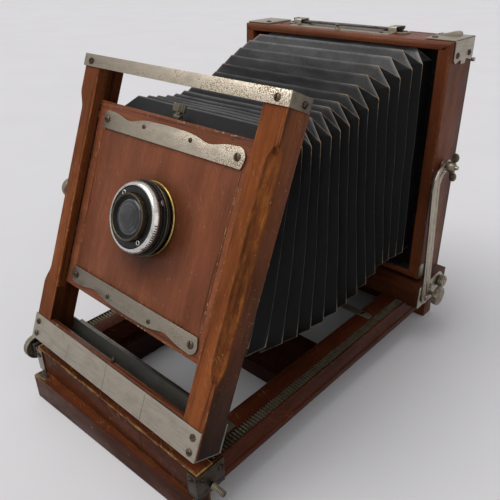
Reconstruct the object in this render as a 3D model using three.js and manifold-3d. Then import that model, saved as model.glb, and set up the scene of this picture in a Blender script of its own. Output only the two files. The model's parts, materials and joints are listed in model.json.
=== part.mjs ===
// Wooden folding-bed view camera: front standard with lens, pleated bellows, rear box frame with
// spring back, and a two-level bed with racks. Millimetres, +Z up, the lens looks along -Y.
import * as THREE from 'three';
import { mergeVertices } from 'three/addons/utils/BufferGeometryUtils.js';
import Module from 'manifold-3d';

const wasm = await Module();
wasm.setup();

// ---------------------------------------------------------------- driving dimensions
const GAP = 0.3;                       // running clearance between pieces
const DEG = Math.PI / 180;

const BASE_HEIGHT = 50;                // table to top of the upper bed frame
const CENTRE_SHIFT = 115.7;            // puts the middle of the length at y = 0
const BED_HALF = 107;                  // half width of the upper bed frame
const BED_THICK = 24.5;                // height of the upper bed frame
const BED_FRONT = -292.5;
const BED_REAR = 66;
const RAIL_WIDTH = 25.5;
const CROSS_DEPTH = 16;                // front to back size of a cross rail
const STRIP_HIGH = 17;                 // wear strip along the outside of each rail, below bed height
const STRIP_LOW = 21;
const STRIP_PROUD = 0.7;
const CORNER_PLATE_END = BED_FRONT + 25.5;
const LOWER_HALF = BED_HALF - 17;                 // half width over the lower side rails
const LOWER_WIDTH = 16;
const LOWER_FRONT_LEFT = BED_FRONT - 10;   // the lower front board is planed on a slant
const LOWER_FRONT_RIGHT = BED_FRONT - 2;
const LOWER_FRONT_HALF = BED_HALF - 3;
const LOWER_FRONT_BACK = BED_FRONT + 14.5;
const TRIPOD_BORE = 4.7;               // bore of the 3/8 inch tripod bush
const TRIPOD_Y = -116;                 // middle of the tripod block
const TONGUE_HIGH = 4;
const TONGUE_WIDE = 5;
const TONGUE_START = BED_FRONT + 16.3;           // guide tongue on each lower rail
const TONGUE_END = -14;

const RACK_MODULE = 1;
const RACK_PITCH = Math.PI * RACK_MODULE;
const RACK_MIDDLE = BED_HALF - 6.2;    // x of the middle of each rack
const RACK_WIDE = 8;
const RACK_THICK = 3.2;
const RACK_START = BED_FRONT + 18.5;
const RACK_END_MARGIN = 3;             // plain wood between a rack and the rear cross rail
const RACK_TEETH = Math.floor((BED_REAR - CROSS_DEPTH - RACK_END_MARGIN - RACK_START) / RACK_PITCH);
const PINION_TEETH = 10;
const PINION_RADIUS = RACK_MODULE * PINION_TEETH / 2;
const PINION_PLAY = 0.25;              // extra centre distance so that the teeth never touch
const PINION_Y = 18;
const PINION_Z = PINION_RADIUS - RACK_MODULE + PINION_PLAY;

const LEAN = 23 * DEG;                 // the front standard leans back at rest
const STANDARD_Y = BED_FRONT - 6;      // foot of the front face, at bed height
const STANDARD_HALF = BED_HALF - 0.2;
const UPRIGHT_WIDE = 19.5;
const UPRIGHT_DEEP = 24;
const UPRIGHT_FOOT = 15.3;
const UPRIGHT_TOP = 264;
const CHAMFER = 6;
const FOOT_PLATE_TOP = 37.2;
const HINGE_DEPTH = 30;                // hinge pin behind the front face
const HINGE_HEIGHT = 17.5;             // hinge pin above the foot line
const KNUCKLE = 2.8;
const PIN = 1.4;

const PANEL_FACE = 8;                  // panel face behind the front of the uprights
const PANEL_THICK = 10;
const PANEL_BOTTOM = 73.7;
const PANEL_TOP = 231;
const PANEL_HALF = STANDARD_HALF - UPRIGHT_WIDE - 0.4;
const TONGUE_DEEP = 4;                 // panel tongue into the upright groove
const PANEL_MIDDLE = (PANEL_BOTTOM + PANEL_TOP) / 2;
const BOARD_HALF = PANEL_HALF - 9.9;   // lens board
const BOARD_BOTTOM = PANEL_BOTTOM + 14.3;
const BOARD_TOP = PANEL_TOP - 16.5;
const BOARD_THICK = 6;
const LENS_HEIGHT = 155.3;
const LENS_HOLE = 22;
const KEEPER_HALF = BOARD_HALF + 1.5;              // nickel keeper plates above and below the lens board
const KEEPER_THICK = 1.4;
const TOP_KEEPER = BOARD_TOP + 3.1;
const LOW_KEEPER = BOARD_BOTTOM - 3.4;

const FRAME_HALF = BED_HALF + 6;       // rear box frame
const FRAME_BOTTOM = 24;
const FRAME_TOP = 247;
const FRAME_DEEP = 44;
const FRAME_WALL = 11;                  // across the face of the side boards
const FRAME_CAP = 6.5;                  // and of the top and bottom boards
const FRAME_ROUND = 2.8;
const FRAME_MIDDLE = (FRAME_BOTTOM + FRAME_TOP) / 2;
const FRAME_RISE = (FRAME_TOP - FRAME_BOTTOM) / 2;

const BLOCK_HALF = BED_HALF + 12.5;    // cross block that carries the rear frame
const BLOCK_FRONT = -9;
const BLOCK_BACK = 50;
const BLOCK_TOP = 20;
const SEAT_TOP = 22.4;
const END_PLATE = 1.5;
const TILT_Y = 22;

const BACK_DEEP = 13;                  // reversible back behind the frame
const BACK_HALF = FRAME_HALF - 8;
const BACK_RISE = FRAME_RISE - 8;
const GLASS_FRAME_DEEP = 9;
const GLASS_FRAME_HALF = BACK_HALF - 13;
const GLASS_FRAME_RISE = BACK_RISE - 34.5;

const BELLOWS_REAR_Y = 14;
const BELLOWS_CORNER = 15.5;           // width of each folded corner
const BELLOWS_SKIN = 0.9;
const BELLOWS_SAG = 7;
const PLEAT_DEPTH = 9.4;               // at the rear; the pleats grow shallower towards the lens
const PLEAT_DEPTH_LOSS = 0.8;
// where the side folds stand out, as shares of the length from the rear frame
const SIDE_FOLDS = [0.111, 0.186, 0.268, 0.339, 0.407, 0.467, 0.519, 0.573, 0.624, 0.671, 0.725, 0.771, 0.818,
  0.864, 0.91, 0.955];
// the top folds drop in a soft curve: shares of the length and of the drop that is still left
const TOP_LINE = [[0, 1], [0.07, 1.02], [0.148, 1.03], [0.227, 0.95], [0.303, 0.84], [0.373, 0.72], [0.437, 0.58],
  [0.493, 0.45], [0.546, 0.35], [0.598, 0.29], [0.647, 0.245], [0.698, 0.19], [0.793, 0.09], [0.887, 0.026], [1, 0]];

// ---------------------------------------------------------------- finishes
const FINISHES = {
  mahogany: [0x7a3a22, 0.42, 0.0],
  mahoganyEdge: [0x93552c, 0.5, 0.0],
  lensBoardWood: [0x7d4030, 0.45, 0.0],
  darkWood: [0x3a1a12, 0.6, 0.0],
  blackWood: [0x15130f, 0.6, 0.0],
  nickel: [0x8f8a7c, 0.36, 0.9],
  steel: [0x7c7f80, 0.45, 0.85],
  rackMetal: [0x55554c, 0.5, 0.8],
  brass: [0xb08c3e, 0.35, 0.9],
  bronze: [0x4c3d30, 0.42, 0.7],
  blackEnamel: [0x17171a, 0.35, 0.2],
  silver: [0xc6c4c0, 0.3, 0.9],
  glass: [0x3a3d40, 0.06, 0.0],
  groundGlass: [0xb9bdb8, 0.55, 0.0],
  bellowsLeather: [0x1b1b1e, 0.72, 0.0],
};

function finish(name) {
  const [color, roughness, metalness] = FINISHES[name];
  return new THREE.MeshStandardMaterial({ color, roughness, metalness });
}

// ---------------------------------------------------------------- solid helpers
function signedVolume(geometry) {
  const p = geometry.attributes.position;
  const index = geometry.index;
  const a = new THREE.Vector3();
  const b = new THREE.Vector3();
  const c = new THREE.Vector3();
  let total = 0;
  for (let i = 0; i < index.count; i += 3) {
    a.fromBufferAttribute(p, index.getX(i));
    b.fromBufferAttribute(p, index.getX(i + 1));
    c.fromBufferAttribute(p, index.getX(i + 2));
    total += a.dot(b.cross(c));
  }
  return total;
}

function outward(geometry) {
  if (signedVolume(geometry) < 0) {
    const index = geometry.index;
    for (let i = 0; i < index.count; i += 3) {
      const first = index.getX(i);
      index.setX(i, index.getX(i + 1));
      index.setX(i + 1, first);
    }
  }
  return geometry;
}

function clean(geometry) {
  const bare = geometry.clone();
  bare.deleteAttribute('normal');
  bare.deleteAttribute('uv');
  return outward(mergeVertices(bare, 1e-4));
}

function solid(geometry) {
  const g = clean(geometry);
  return new wasm.Manifold(new wasm.Mesh({
    numProp: 3,
    vertProperties: new Float32Array(g.attributes.position.array),
    triVerts: new Uint32Array(g.index.array),
  }));
}

function surface(body) {
  const mesh = body.getMesh();
  const geometry = new THREE.BufferGeometry();
  geometry.setAttribute('position', new THREE.BufferAttribute(new Float32Array(mesh.vertProperties), 3));
  geometry.setIndex(new THREE.BufferAttribute(new Uint32Array(mesh.triVerts), 1));
  return geometry;
}

function join(...geometries) {
  return surface(geometries.map(solid).reduce((whole, part) => whole.add(part)));
}

function carve(geometry, ...tools) {
  return surface(tools.map(solid).reduce((whole, tool) => whole.subtract(tool), solid(geometry)));
}

function block(x0, x1, y0, y1, z0, z1) {
  const g = new THREE.BoxGeometry(x1 - x0, y1 - y0, z1 - z0);
  g.translate((x0 + x1) / 2, (y0 + y1) / 2, (z0 + z1) / 2);
  return g;
}

// turns a shape that stands along Z so that it runs along the named axis
function alongAxis(geometry, axis) {
  const m = new THREE.Matrix4();
  if (axis === 'x') m.makeBasis(V(0, 1, 0), V(0, 0, 1), V(1, 0, 0));
  if (axis === 'y') m.makeBasis(V(0, 0, 1), V(1, 0, 0), V(0, 1, 0));
  if (axis !== 'z') geometry.applyMatrix4(m);
  return geometry;
}

function V(x, y, z) {
  return new THREE.Vector3(x, y, z);
}

function rod(axis, radius, from, to, centre, sides = 20) {
  const g = new THREE.CylinderGeometry(radius, radius, to - from, sides);
  g.rotateX(Math.PI / 2);
  g.translate(0, 0, (from + to) / 2);
  alongAxis(g, axis);
  g.translate(...centre);
  return g;
}

// profile points are [radius, distance along the axis]
function turned(axis, profile, centre, sides = 32) {
  const g = new THREE.LatheGeometry(profile.map(([r, h]) => new THREE.Vector2(r, h)), sides);
  g.rotateX(Math.PI / 2);
  alongAxis(g, axis);
  g.translate(...centre);
  return g;
}

// outline points lie across the axis: (y, z) for x, (x, z) for y, (x, y) for z
function slab(axis, outline, from, to, holes = []) {
  const shape = new THREE.Shape(outline.map(([u, v]) => new THREE.Vector2(u, v)));
  for (const hole of holes) shape.holes.push(new THREE.Path(hole.map(([u, v]) => new THREE.Vector2(u, v))));
  const g = new THREE.ExtrudeGeometry(shape, { depth: to - from, bevelEnabled: false });
  g.translate(0, 0, from);
  const m = new THREE.Matrix4();
  if (axis === 'x') m.makeBasis(V(0, 1, 0), V(0, 0, 1), V(1, 0, 0));
  if (axis === 'y') m.makeBasis(V(1, 0, 0), V(0, 0, 1), V(0, 1, 0));
  if (axis !== 'z') g.applyMatrix4(m);
  return g;
}

function circle(cx, cy, radius, count = 24) {
  const points = [];
  for (let i = 0; i < count; i += 1) {
    const a = 2 * Math.PI * i / count;
    points.push([cx + radius * Math.cos(a), cy + radius * Math.sin(a)]);
  }
  return points;
}

// closed body through a list of rings with the same number of points
function loft(given) {
  const outline = given[0].map(([x, y]) => new THREE.Vector2(x, y));
  const rings = THREE.ShapeUtils.isClockWise(outline) ? given.map((ring) => [...ring].reverse()) : given;
  const count = rings[0].length;
  const positions = rings.flat(2);
  const index = [];
  for (let k = 0; k + 1 < rings.length; k += 1) {
    for (let i = 0; i < count; i += 1) {
      const j = (i + 1) % count;
      const a = k * count + i;
      const b = k * count + j;
      index.push(a, b, b + count, a, b + count, a + count);
    }
  }
  const flat = rings[0].map(([x, y]) => new THREE.Vector2(x, y));
  const last = (rings.length - 1) * count;
  for (const [a, b, c] of THREE.ShapeUtils.triangulateShape(flat, [])) {
    index.push(a, c, b);
    index.push(last + a, last + b, last + c);
  }
  const g = new THREE.BufferGeometry();
  g.setAttribute('position', new THREE.Float32BufferAttribute(positions, 3));
  g.setIndex(index);
  return outward(g);
}

// rectangular frame with mitred corners; profile points are [inset from outside, depth y]
function mitredFrame(profile, halfX, middleZ, halfZ) {
  const corners = [[-1, -1], [1, -1], [1, 1], [-1, 1]];
  const positions = [];
  for (const [sx, sz] of corners) {
    for (const [inset, y] of profile) {
      positions.push(sx * (halfX - inset), y, middleZ + sz * (halfZ - inset));
    }
  }
  const n = profile.length;
  const index = [];
  for (let c = 0; c < 4; c += 1) {
    for (let i = 0; i < n; i += 1) {
      const j = (i + 1) % n;
      const a = c * n + i;
      const b = c * n + j;
      const d = ((c + 1) % 4) * n + i;
      const e = ((c + 1) % 4) * n + j;
      index.push(a, b, e, a, e, d);
    }
  }
  const g = new THREE.BufferGeometry();
  g.setAttribute('position', new THREE.Float32BufferAttribute(positions, 3));
  g.setIndex(index);
  return outward(g);
}

function screwHead(axis, direction, at, radius = 2.5, height = 1.1) {
  const profile = [[0, -0.6 * direction], [radius, -0.6 * direction], [radius, 0.25 * direction],
    [radius * 0.72, height * 0.75 * direction], [0, height * direction]];
  return turned(axis, profile, at, 10);
}

function add(parent, name, geometry, finishName) {
  const mesh = new THREE.Mesh(clean(geometry), finish(finishName));
  mesh.geometry.computeVertexNormals();
  mesh.name = name;
  parent.add(mesh);
  return mesh;
}

function section(parent, name) {
  const g = new THREE.Group();
  g.name = name;
  parent.add(g);
  return g;
}

const SIDES = [['left', -1], ['right', 1]];

// x interval on one side of the middle, lowest first
function span(sign, inner, outer) {
  return sign > 0 ? [inner, outer] : [-outer, -inner];
}

const camera = new THREE.Group();
camera.name = 'view_camera';
camera.position.set(0, CENTRE_SHIFT, BASE_HEIGHT);

// ---------------------------------------------------------------- lower bed frame
function buildLowerFrame() {
  const g = section(camera, 'lower_bed_frame');
  const top = -BED_THICK - GAP;
  const boardBack = LOWER_FRONT_BACK;
  for (const [side, sign] of SIDES) {
    const [x0, x1] = span(sign, LOWER_HALF - LOWER_WIDTH, LOWER_HALF);
    const [t0, t1] = span(sign, LOWER_HALF - TONGUE_WIDE, LOWER_HALF);
    add(g, `lower_rail_${side}`, join(
      block(x0, x1, boardBack + GAP, BED_REAR - CROSS_DEPTH - GAP, -BASE_HEIGHT, top),
      block(t0, t1, TONGUE_START, TONGUE_END, top - 1, top + TONGUE_HIGH),
    ), 'darkWood');
  }
  const h = LOWER_FRONT_HALF;
  const outline = [[-h, LOWER_FRONT_LEFT], [h, LOWER_FRONT_RIGHT], [h, boardBack], [-h, boardBack]];
  add(g, 'lower_front_board', slab('z', outline, -BASE_HEIGHT, top), 'mahoganyEdge');
  add(g, 'lower_rear_board', block(-h, h, BED_REAR - CROSS_DEPTH, BED_REAR, -BASE_HEIGHT, top), 'mahogany');
  const inner = LOWER_HALF - LOWER_WIDTH - GAP;
  add(g, 'tripod_block', carve(
    block(-inner, inner, TRIPOD_Y - 32, TRIPOD_Y + 32, -BASE_HEIGHT, -BASE_HEIGHT + 16),
    rod('z', TRIPOD_BORE, -BASE_HEIGHT - 1, -BASE_HEIGHT + 12, [0, TRIPOD_Y, 0], 24),
  ), 'darkWood');
}

// ---------------------------------------------------------------- upper bed frame with racks
function buildBed() {
  const g = section(camera, 'upper_bed_frame');
  const inner = BED_HALF - RAIL_WIDTH;
  const frontBack = BED_FRONT + CROSS_DEPTH;
  for (const [side, sign] of SIDES) {
    const rail = [
      [inner, -BED_THICK], [LOWER_HALF - TONGUE_WIDE - GAP, -BED_THICK],
      [LOWER_HALF - TONGUE_WIDE - GAP, -BED_THICK + TONGUE_HIGH + GAP],
      [LOWER_HALF + GAP, -BED_THICK + TONGUE_HIGH + GAP], [LOWER_HALF + GAP, -BED_THICK],
      [BED_HALF, -BED_THICK], [BED_HALF, -0.5], [BED_HALF - 0.5, 0],
      [RACK_MIDDLE + RACK_WIDE / 2 + GAP, 0], [RACK_MIDDLE + RACK_WIDE / 2 + GAP, -RACK_THICK - GAP],
      [RACK_MIDDLE - RACK_WIDE / 2 - GAP, -RACK_THICK - GAP], [RACK_MIDDLE - RACK_WIDE / 2 - GAP, 0],
      [inner, 0],
    ].map(([x, z]) => [x * sign, z]);
    const end = BED_REAR - CROSS_DEPTH - GAP;
    const strip = block(...span(sign, BED_HALF - 1, BED_HALF + STRIP_PROUD),
      CORNER_PLATE_END + GAP, end, -STRIP_LOW, -STRIP_HIGH);
    add(g, `bed_rail_${side}`, join(slab('y', rail, frontBack + GAP, end), strip), 'mahogany');
    add(g, `rack_${side}`, rack(sign), 'rackMetal');
  }
  const nose = [[BED_FRONT, -BED_THICK], [BED_FRONT, -2.2], [BED_FRONT + 0.9, -0.7], [BED_FRONT + 2.6, 0],
    [frontBack, 0], [frontBack, -BED_THICK]];
  add(g, 'bed_front_rail', slab('x', nose, -BED_HALF, BED_HALF), 'mahoganyEdge');
  add(g, 'bed_rear_rail', block(-BED_HALF, BED_HALF, BED_REAR - CROSS_DEPTH, BED_REAR, -BED_THICK, 0), 'mahogany');
  for (const [side, sign] of SIDES) {
    const out = BED_HALF + GAP;
    const front = BED_FRONT - GAP;
    const parts = [
      block(...span(sign, out, out + 1), front - 1, CORNER_PLATE_END, -BED_THICK + 0.2, -0.6),
      block(...span(sign, BED_HALF - 9, out + 0.5), front - 1, front, -BED_THICK + 0.2, -0.6),
      screwHead('x', sign, [sign * (out + 1), BED_FRONT + 21.8, sign > 0 ? -8.6 : -15]),
      screwHead('y', -1, [sign * (BED_HALF - 5.2), front - 1, -6]),
    ];
    if (sign > 0) parts.push(screwHead('x', sign, [sign * (out + 1), BED_FRONT + 4, -7.2]));
    add(g, `corner_plate_${side}`, join(...parts), 'nickel');
  }
  add(g, 'clamp_stud', threadedStud(), 'nickel');
  const strapHalf = RACK_MIDDLE - 4.8;
  add(g, 'bed_strap', join(
    block(-strapHalf, strapHalf, -58.5, -50.5, 0.35, 1.35),
    ...SIDES.map(([, s]) => screwHead('z', 1, [s * (strapHalf - 8), -54.5, 1.35])),
  ), 'nickel');
}

// straight-sided teeth standing on a strip, sunk flush into the rail
function rack(sign) {
  const x0 = RACK_MIDDLE - RACK_WIDE / 2;
  const x1 = RACK_MIDDLE + RACK_WIDE / 2;
  const crest = 0;
  const root = -2.6 * RACK_MODULE;
  const end = RACK_START + RACK_TEETH * RACK_PITCH;
  const outline = [[RACK_START, -RACK_THICK], [end, -RACK_THICK]];
  for (let i = RACK_TEETH - 1; i >= 0; i -= 1) {
    const y = RACK_START + (i + 0.5) * RACK_PITCH;
    outline.push([y + RACK_PITCH / 2, root], [y + RACK_PITCH * 0.1, crest], [y - RACK_PITCH * 0.1, crest]);
  }
  return slab('x', outline, ...span(sign, x0, x1));
}

function threadedStud() {
  const profile = [[0, 0]];
  const turns = 6;
  const length = 12;
  const pitch = length / turns;
  for (let i = 0; i < turns; i += 1) {
    profile.push([2.05, i * pitch + 0.2], [2.5, i * pitch + pitch / 2]);
  }
  profile.push([1.9, length], [0, length]);
  return turned('x', profile, [BED_HALF + 1.7, BED_FRONT + 12.7, -18.9], 12);
}

// ---------------------------------------------------------------- front carriage and its clamp
const HINGE_Y = STANDARD_Y + HINGE_HEIGHT * Math.sin(LEAN) + HINGE_DEPTH * Math.cos(LEAN);
const HINGE_Z = HINGE_HEIGHT * Math.cos(LEAN) - HINGE_DEPTH * Math.sin(LEAN);
const CLAMP = [BED_FRONT + 3, -4.5];   // y and z of the clamp knob

function buildCarriage() {
  const g = section(camera, 'front_carriage');
  const cheek = [-BED_HALF - 4.1, -BED_HALF - 2.7];
  const parts = [
    block(cheek[0], RACK_MIDDLE - 4.8, HINGE_Y + 3.7, HINGE_Y + 22, 0.5, 2),
    block(cheek[0], cheek[1], CLAMP[0] - 5, HINGE_Y + 22, -12, 2),
  ];
  for (const [, sign] of SIDES) {
    parts.push(block(...span(sign, 41, 54), HINGE_Y, HINGE_Y + 8, 0.5, HINGE_Z + 1.5));
    parts.push(rod('x', KNUCKLE, ...span(sign, 41, 54), [0, HINGE_Y, HINGE_Z], 14));
  }
  parts.push(rod('x', PIN, -56, 56, [0, HINGE_Y, HINGE_Z], 12));
  add(g, 'carriage_plate', carve(
    join(...parts),
    rod('x', 2.5 + GAP, -BED_HALF - 6, -BED_HALF, [0, ...CLAMP], 20),
  ), 'steel');
  add(g, 'clamp_knob', clampKnob(), 'nickel');
}

// cupped knob with its hollow side towards the camera, on a plain shank
function clampKnob() {
  const rim = 11.5;
  const profile = [[0, 1.7], [2.5, 1.7], [2.5, 6.6], [rim - 1.8, 6.6], [rim - 1.8, 4.9],
    [rim - 0.4, 4.5], [rim, 5.1], [rim, 9.8], [rim - 1.2, 10.8], [4.2, 10.8], [3.4, 9.8], [0, 9.8]];
  return turned('x', profile.map(([r, x]) => [r, -BED_HALF - x]), [0, ...CLAMP], 24);
}

// ---------------------------------------------------------------- front standard
const KNOB_DEPTH = 13;                 // rise clamp knob on the left upright
const KNOB_HEIGHT = 151;
const KNOB_RADIUS = 9;

function standardGroup(parent, name) {
  const g = section(parent, name);
  g.position.set(0, STANDARD_Y, 0);
  g.rotation.x = -LEAN;
  return g;
}

function smoothStep(t) {
  const u = Math.min(Math.max(t, 0), 1);
  return u * u * (3 - 2 * u);
}

// stopped chamfer on the outer front edge, run out in a lamb's tongue at each end
function uprightChamfer(height) {
  const lower = smoothStep((height - 66) / 18);
  const upper = smoothStep((236 - height) / 16);
  return 0.6 + (CHAMFER - 0.6) * Math.min(lower, upper);
}

function upright(sign) {
  const inner = STANDARD_HALF - UPRIGHT_WIDE;
  const grooveTop = PANEL_FACE + 2 - GAP;
  const grooveEnd = PANEL_FACE + PANEL_THICK - 2 + GAP;
  const heights = [UPRIGHT_FOOT, 66, 69, 72, 75, 78, 81, 84, 220, 223, 226, 228, 230, 233, 236, UPRIGHT_TOP];
  const rings = heights.map((z) => {
    const c = uprightChamfer(z);
    return [
      [inner, 0], [inner, grooveTop], [inner + TONGUE_DEEP, grooveTop], [inner + TONGUE_DEEP, grooveEnd],
      [inner, grooveEnd], [inner, UPRIGHT_DEEP], [STANDARD_HALF, UPRIGHT_DEEP],
      [STANDARD_HALF, c], [STANDARD_HALF - c, 0],
    ].map(([x, y]) => [x * sign, y, z]);
  });
  return loft(rings);
}

function buildStandard() {
  const g = standardGroup(camera, 'front_standard');
  const inner = STANDARD_HALF - UPRIGHT_WIDE;
  for (const [side, sign] of SIDES) {
    const knobHole = rod('x', 2 + GAP, -STANDARD_HALF - 13, -inner + 7, [0, KNOB_DEPTH, KNOB_HEIGHT], 16);
    const body = upright(sign);
    add(g, `upright_${side}`, sign < 0 ? carve(body, knobHole) : body, 'mahogany');
  }
  add(g, 'foot_bar', join(
    block(-inner + GAP, inner - GAP, 0.2, 6, UPRIGHT_FOOT, 37.8),
    rod('z', 1.5, 37, 42, [0, 4, 0], 12),
  ), 'mahogany');
  add(g, 'foot_plate', join(
    block(-STANDARD_HALF, STANDARD_HALF, -1.5, -0.15, 14.6, FOOT_PLATE_TOP),
    ...[-1, 1].flatMap((s) => [30.8, 19.6].map((z) => (
      screwHead('y', -1, [s * (STANDARD_HALF - 5.8), -1.5, z], 2.6, 1.2)))),
  ), 'nickel');
  const back = 25.2;
  const knuckles = [-30, 0, 30].flatMap((x) => [
    rod('x', KNUCKLE, x - 10.5, x + 10.5, [0, HINGE_DEPTH, HINGE_HEIGHT], 14),
    block(x - 10.5, x + 10.5, back + 0.5, HINGE_DEPTH, HINGE_HEIGHT - 1.4, HINGE_HEIGHT + 1.4),
  ]);
  add(g, 'rear_foot_plate', carve(
    join(
      block(-STANDARD_HALF, STANDARD_HALF, 24.3, back + 0.9, 14.2, 37.6),
      block(-STANDARD_HALF, STANDARD_HALF, 0.4, 24.8, 14.2, 15),
      ...knuckles,
    ),
    rod('x', PIN + GAP, -60, 60, [0, HINGE_DEPTH, HINGE_HEIGHT], 14),
  ), 'steel');
  buildTopStrap(g);
  add(g, 'rise_knob', riseKnob(), 'nickel');
}

// nickel strap across both upright tops, bent round the outer sides
function buildTopStrap(g) {
  const high = UPRIGHT_TOP + 0.2;
  const low = high - 9.7;
  const middle = high - 5.4;
  const out = STANDARD_HALF + GAP;
  const parts = [block(-out - 1.1, out + 1.1, -1.4, -0.3, low, high)];
  for (const [, sign] of SIDES) {
    parts.push(block(...span(sign, out, out + 1.1), -1.4, 21, low, high));
    parts.push(screwHead('y', -1, [sign * (STANDARD_HALF - 8.8), -1.4, middle]));
    parts.push(screwHead('x', sign, [sign * (out + 1.1), 14.4, middle]));
  }
  add(g, 'top_strap', join(...parts), 'nickel');
}

function riseKnob() {
  const rim = KNOB_RADIUS;
  const profile = [[0, -15.2], [2, -15.2], [2, 1.2], [rim - 3.2, 1.5], [rim - 0.8, 2.6], [rim, 3.8], [rim, 6.8],
    [rim - 1, 8.6], [rim - 4, 9.8], [0, 10.2]];
  return turned('x', profile.map(([r, x]) => [r, -STANDARD_HALF - x]), [0, KNOB_DEPTH, KNOB_HEIGHT], 20);
}

// ---------------------------------------------------------------- rising panel, lens board and keepers
function buildPanel() {
  const g = standardGroup(camera, 'rising_panel_group');
  const back = PANEL_FACE + PANEL_THICK;
  const body = join(
    block(-PANEL_HALF, PANEL_HALF, PANEL_FACE, back, PANEL_BOTTOM, PANEL_TOP),
    block(-PANEL_HALF - TONGUE_DEEP + 0.1, PANEL_HALF + TONGUE_DEEP - 0.1,
      PANEL_FACE + 2, back - 2, PANEL_BOTTOM, PANEL_TOP),
  );
  add(g, 'rising_panel', carve(
    body,
    block(-BOARD_HALF - GAP, BOARD_HALF + GAP, 0, PANEL_FACE + BOARD_THICK + GAP,
      BOARD_BOTTOM - GAP, BOARD_TOP + GAP),
    block(-BOARD_HALF + 7, BOARD_HALF - 7, 0, back + 1, BOARD_BOTTOM + 7, BOARD_TOP - 7),
    rod('z', 1.8 + GAP, PANEL_TOP - 9, PANEL_TOP + 1, [0, 13.6, 0], 16),
  ), 'mahogany');
  add(g, 'lens_board', carve(
    block(-BOARD_HALF, BOARD_HALF, PANEL_FACE, PANEL_FACE + BOARD_THICK, BOARD_BOTTOM, BOARD_TOP),
    rod('y', LENS_HOLE + GAP, 0, 30, [0, 0, LENS_HEIGHT], 40),
  ), 'lensBoardWood');
  add(g, 'top_keeper', keeper(TOP_KEEPER, 1), 'nickel');
  add(g, 'bottom_keeper', keeper(LOW_KEEPER, -1), 'nickel');
  add(g, 'keeper_screw', turned('z', [[0, -8.4], [1.8, -8.4], [1.8, 1.2], [3.6, 1.2], [3.6, 3.4], [2.2, 3.8],
    [2.2, 5.4], [4.6, 5.6], [5, 6.2], [5, 11], [4.4, 11.6], [0, 11.6]], [0, 13.6, PANEL_TOP], 16), 'nickel');
  buildLens(g);
}

// long plate with one straight edge, rounded corners above its screws and a double-curved back edge; up is +1 or -1 for the curved side
function keeper(middle, up) {
  const straight = -7.4 * up;
  const outline = [];
  const lobe = 7;
  outline.push([KEEPER_HALF - 2.2, -lobe], [KEEPER_HALF - 1.4, -lobe + 0.8]);
  for (let i = 0; i <= 6; i += 1) {
    const a = (-18 + 108 * i / 6) * DEG;
    outline.push([KEEPER_HALF - lobe + lobe * Math.cos(a), lobe * Math.sin(a)]);
  }
  const wave = (x) => {
    const t = Math.abs(x) / (KEEPER_HALF - lobe);
    const dip = 3.6 * Math.exp(-(((t - 0.62) / 0.17) ** 2));
    const crown = 0.6 * Math.exp(-((t / 0.3) ** 2));
    return lobe - dip + crown - 0.2;
  };
  for (let i = 1; i < 28; i += 1) {
    const x = (KEEPER_HALF - lobe) * (1 - 2 * i / 28);
    outline.push([x, wave(x)]);
  }
  for (let i = 0; i <= 6; i += 1) {
    const a = (90 + 108 * i / 6) * DEG;
    outline.push([-KEEPER_HALF + lobe + lobe * Math.cos(a), lobe * Math.sin(a)]);
  }
  outline.push([-KEEPER_HALF + 1.4, -lobe + 0.8], [-KEEPER_HALF + 2.2, -lobe]);
  const placed = outline.map(([x, z]) => [x, middle + (z < -6.9 ? straight * up : z) * up]);
  const front = PANEL_FACE - KEEPER_THICK - 0.35;
  const parts = [slab('y', placed, front, front + KEEPER_THICK)];
  for (const [, sign] of SIDES) {
    parts.push(screwHead('y', -1, [sign * (KEEPER_HALF - 6.5), front, middle], 3.1, 1.4));
    parts.push(screwHead('y', -1, [sign * KEEPER_HALF / 3, front, middle + 2 * up], 1.7, 1.6));
  }
  return join(...parts);
}

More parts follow.
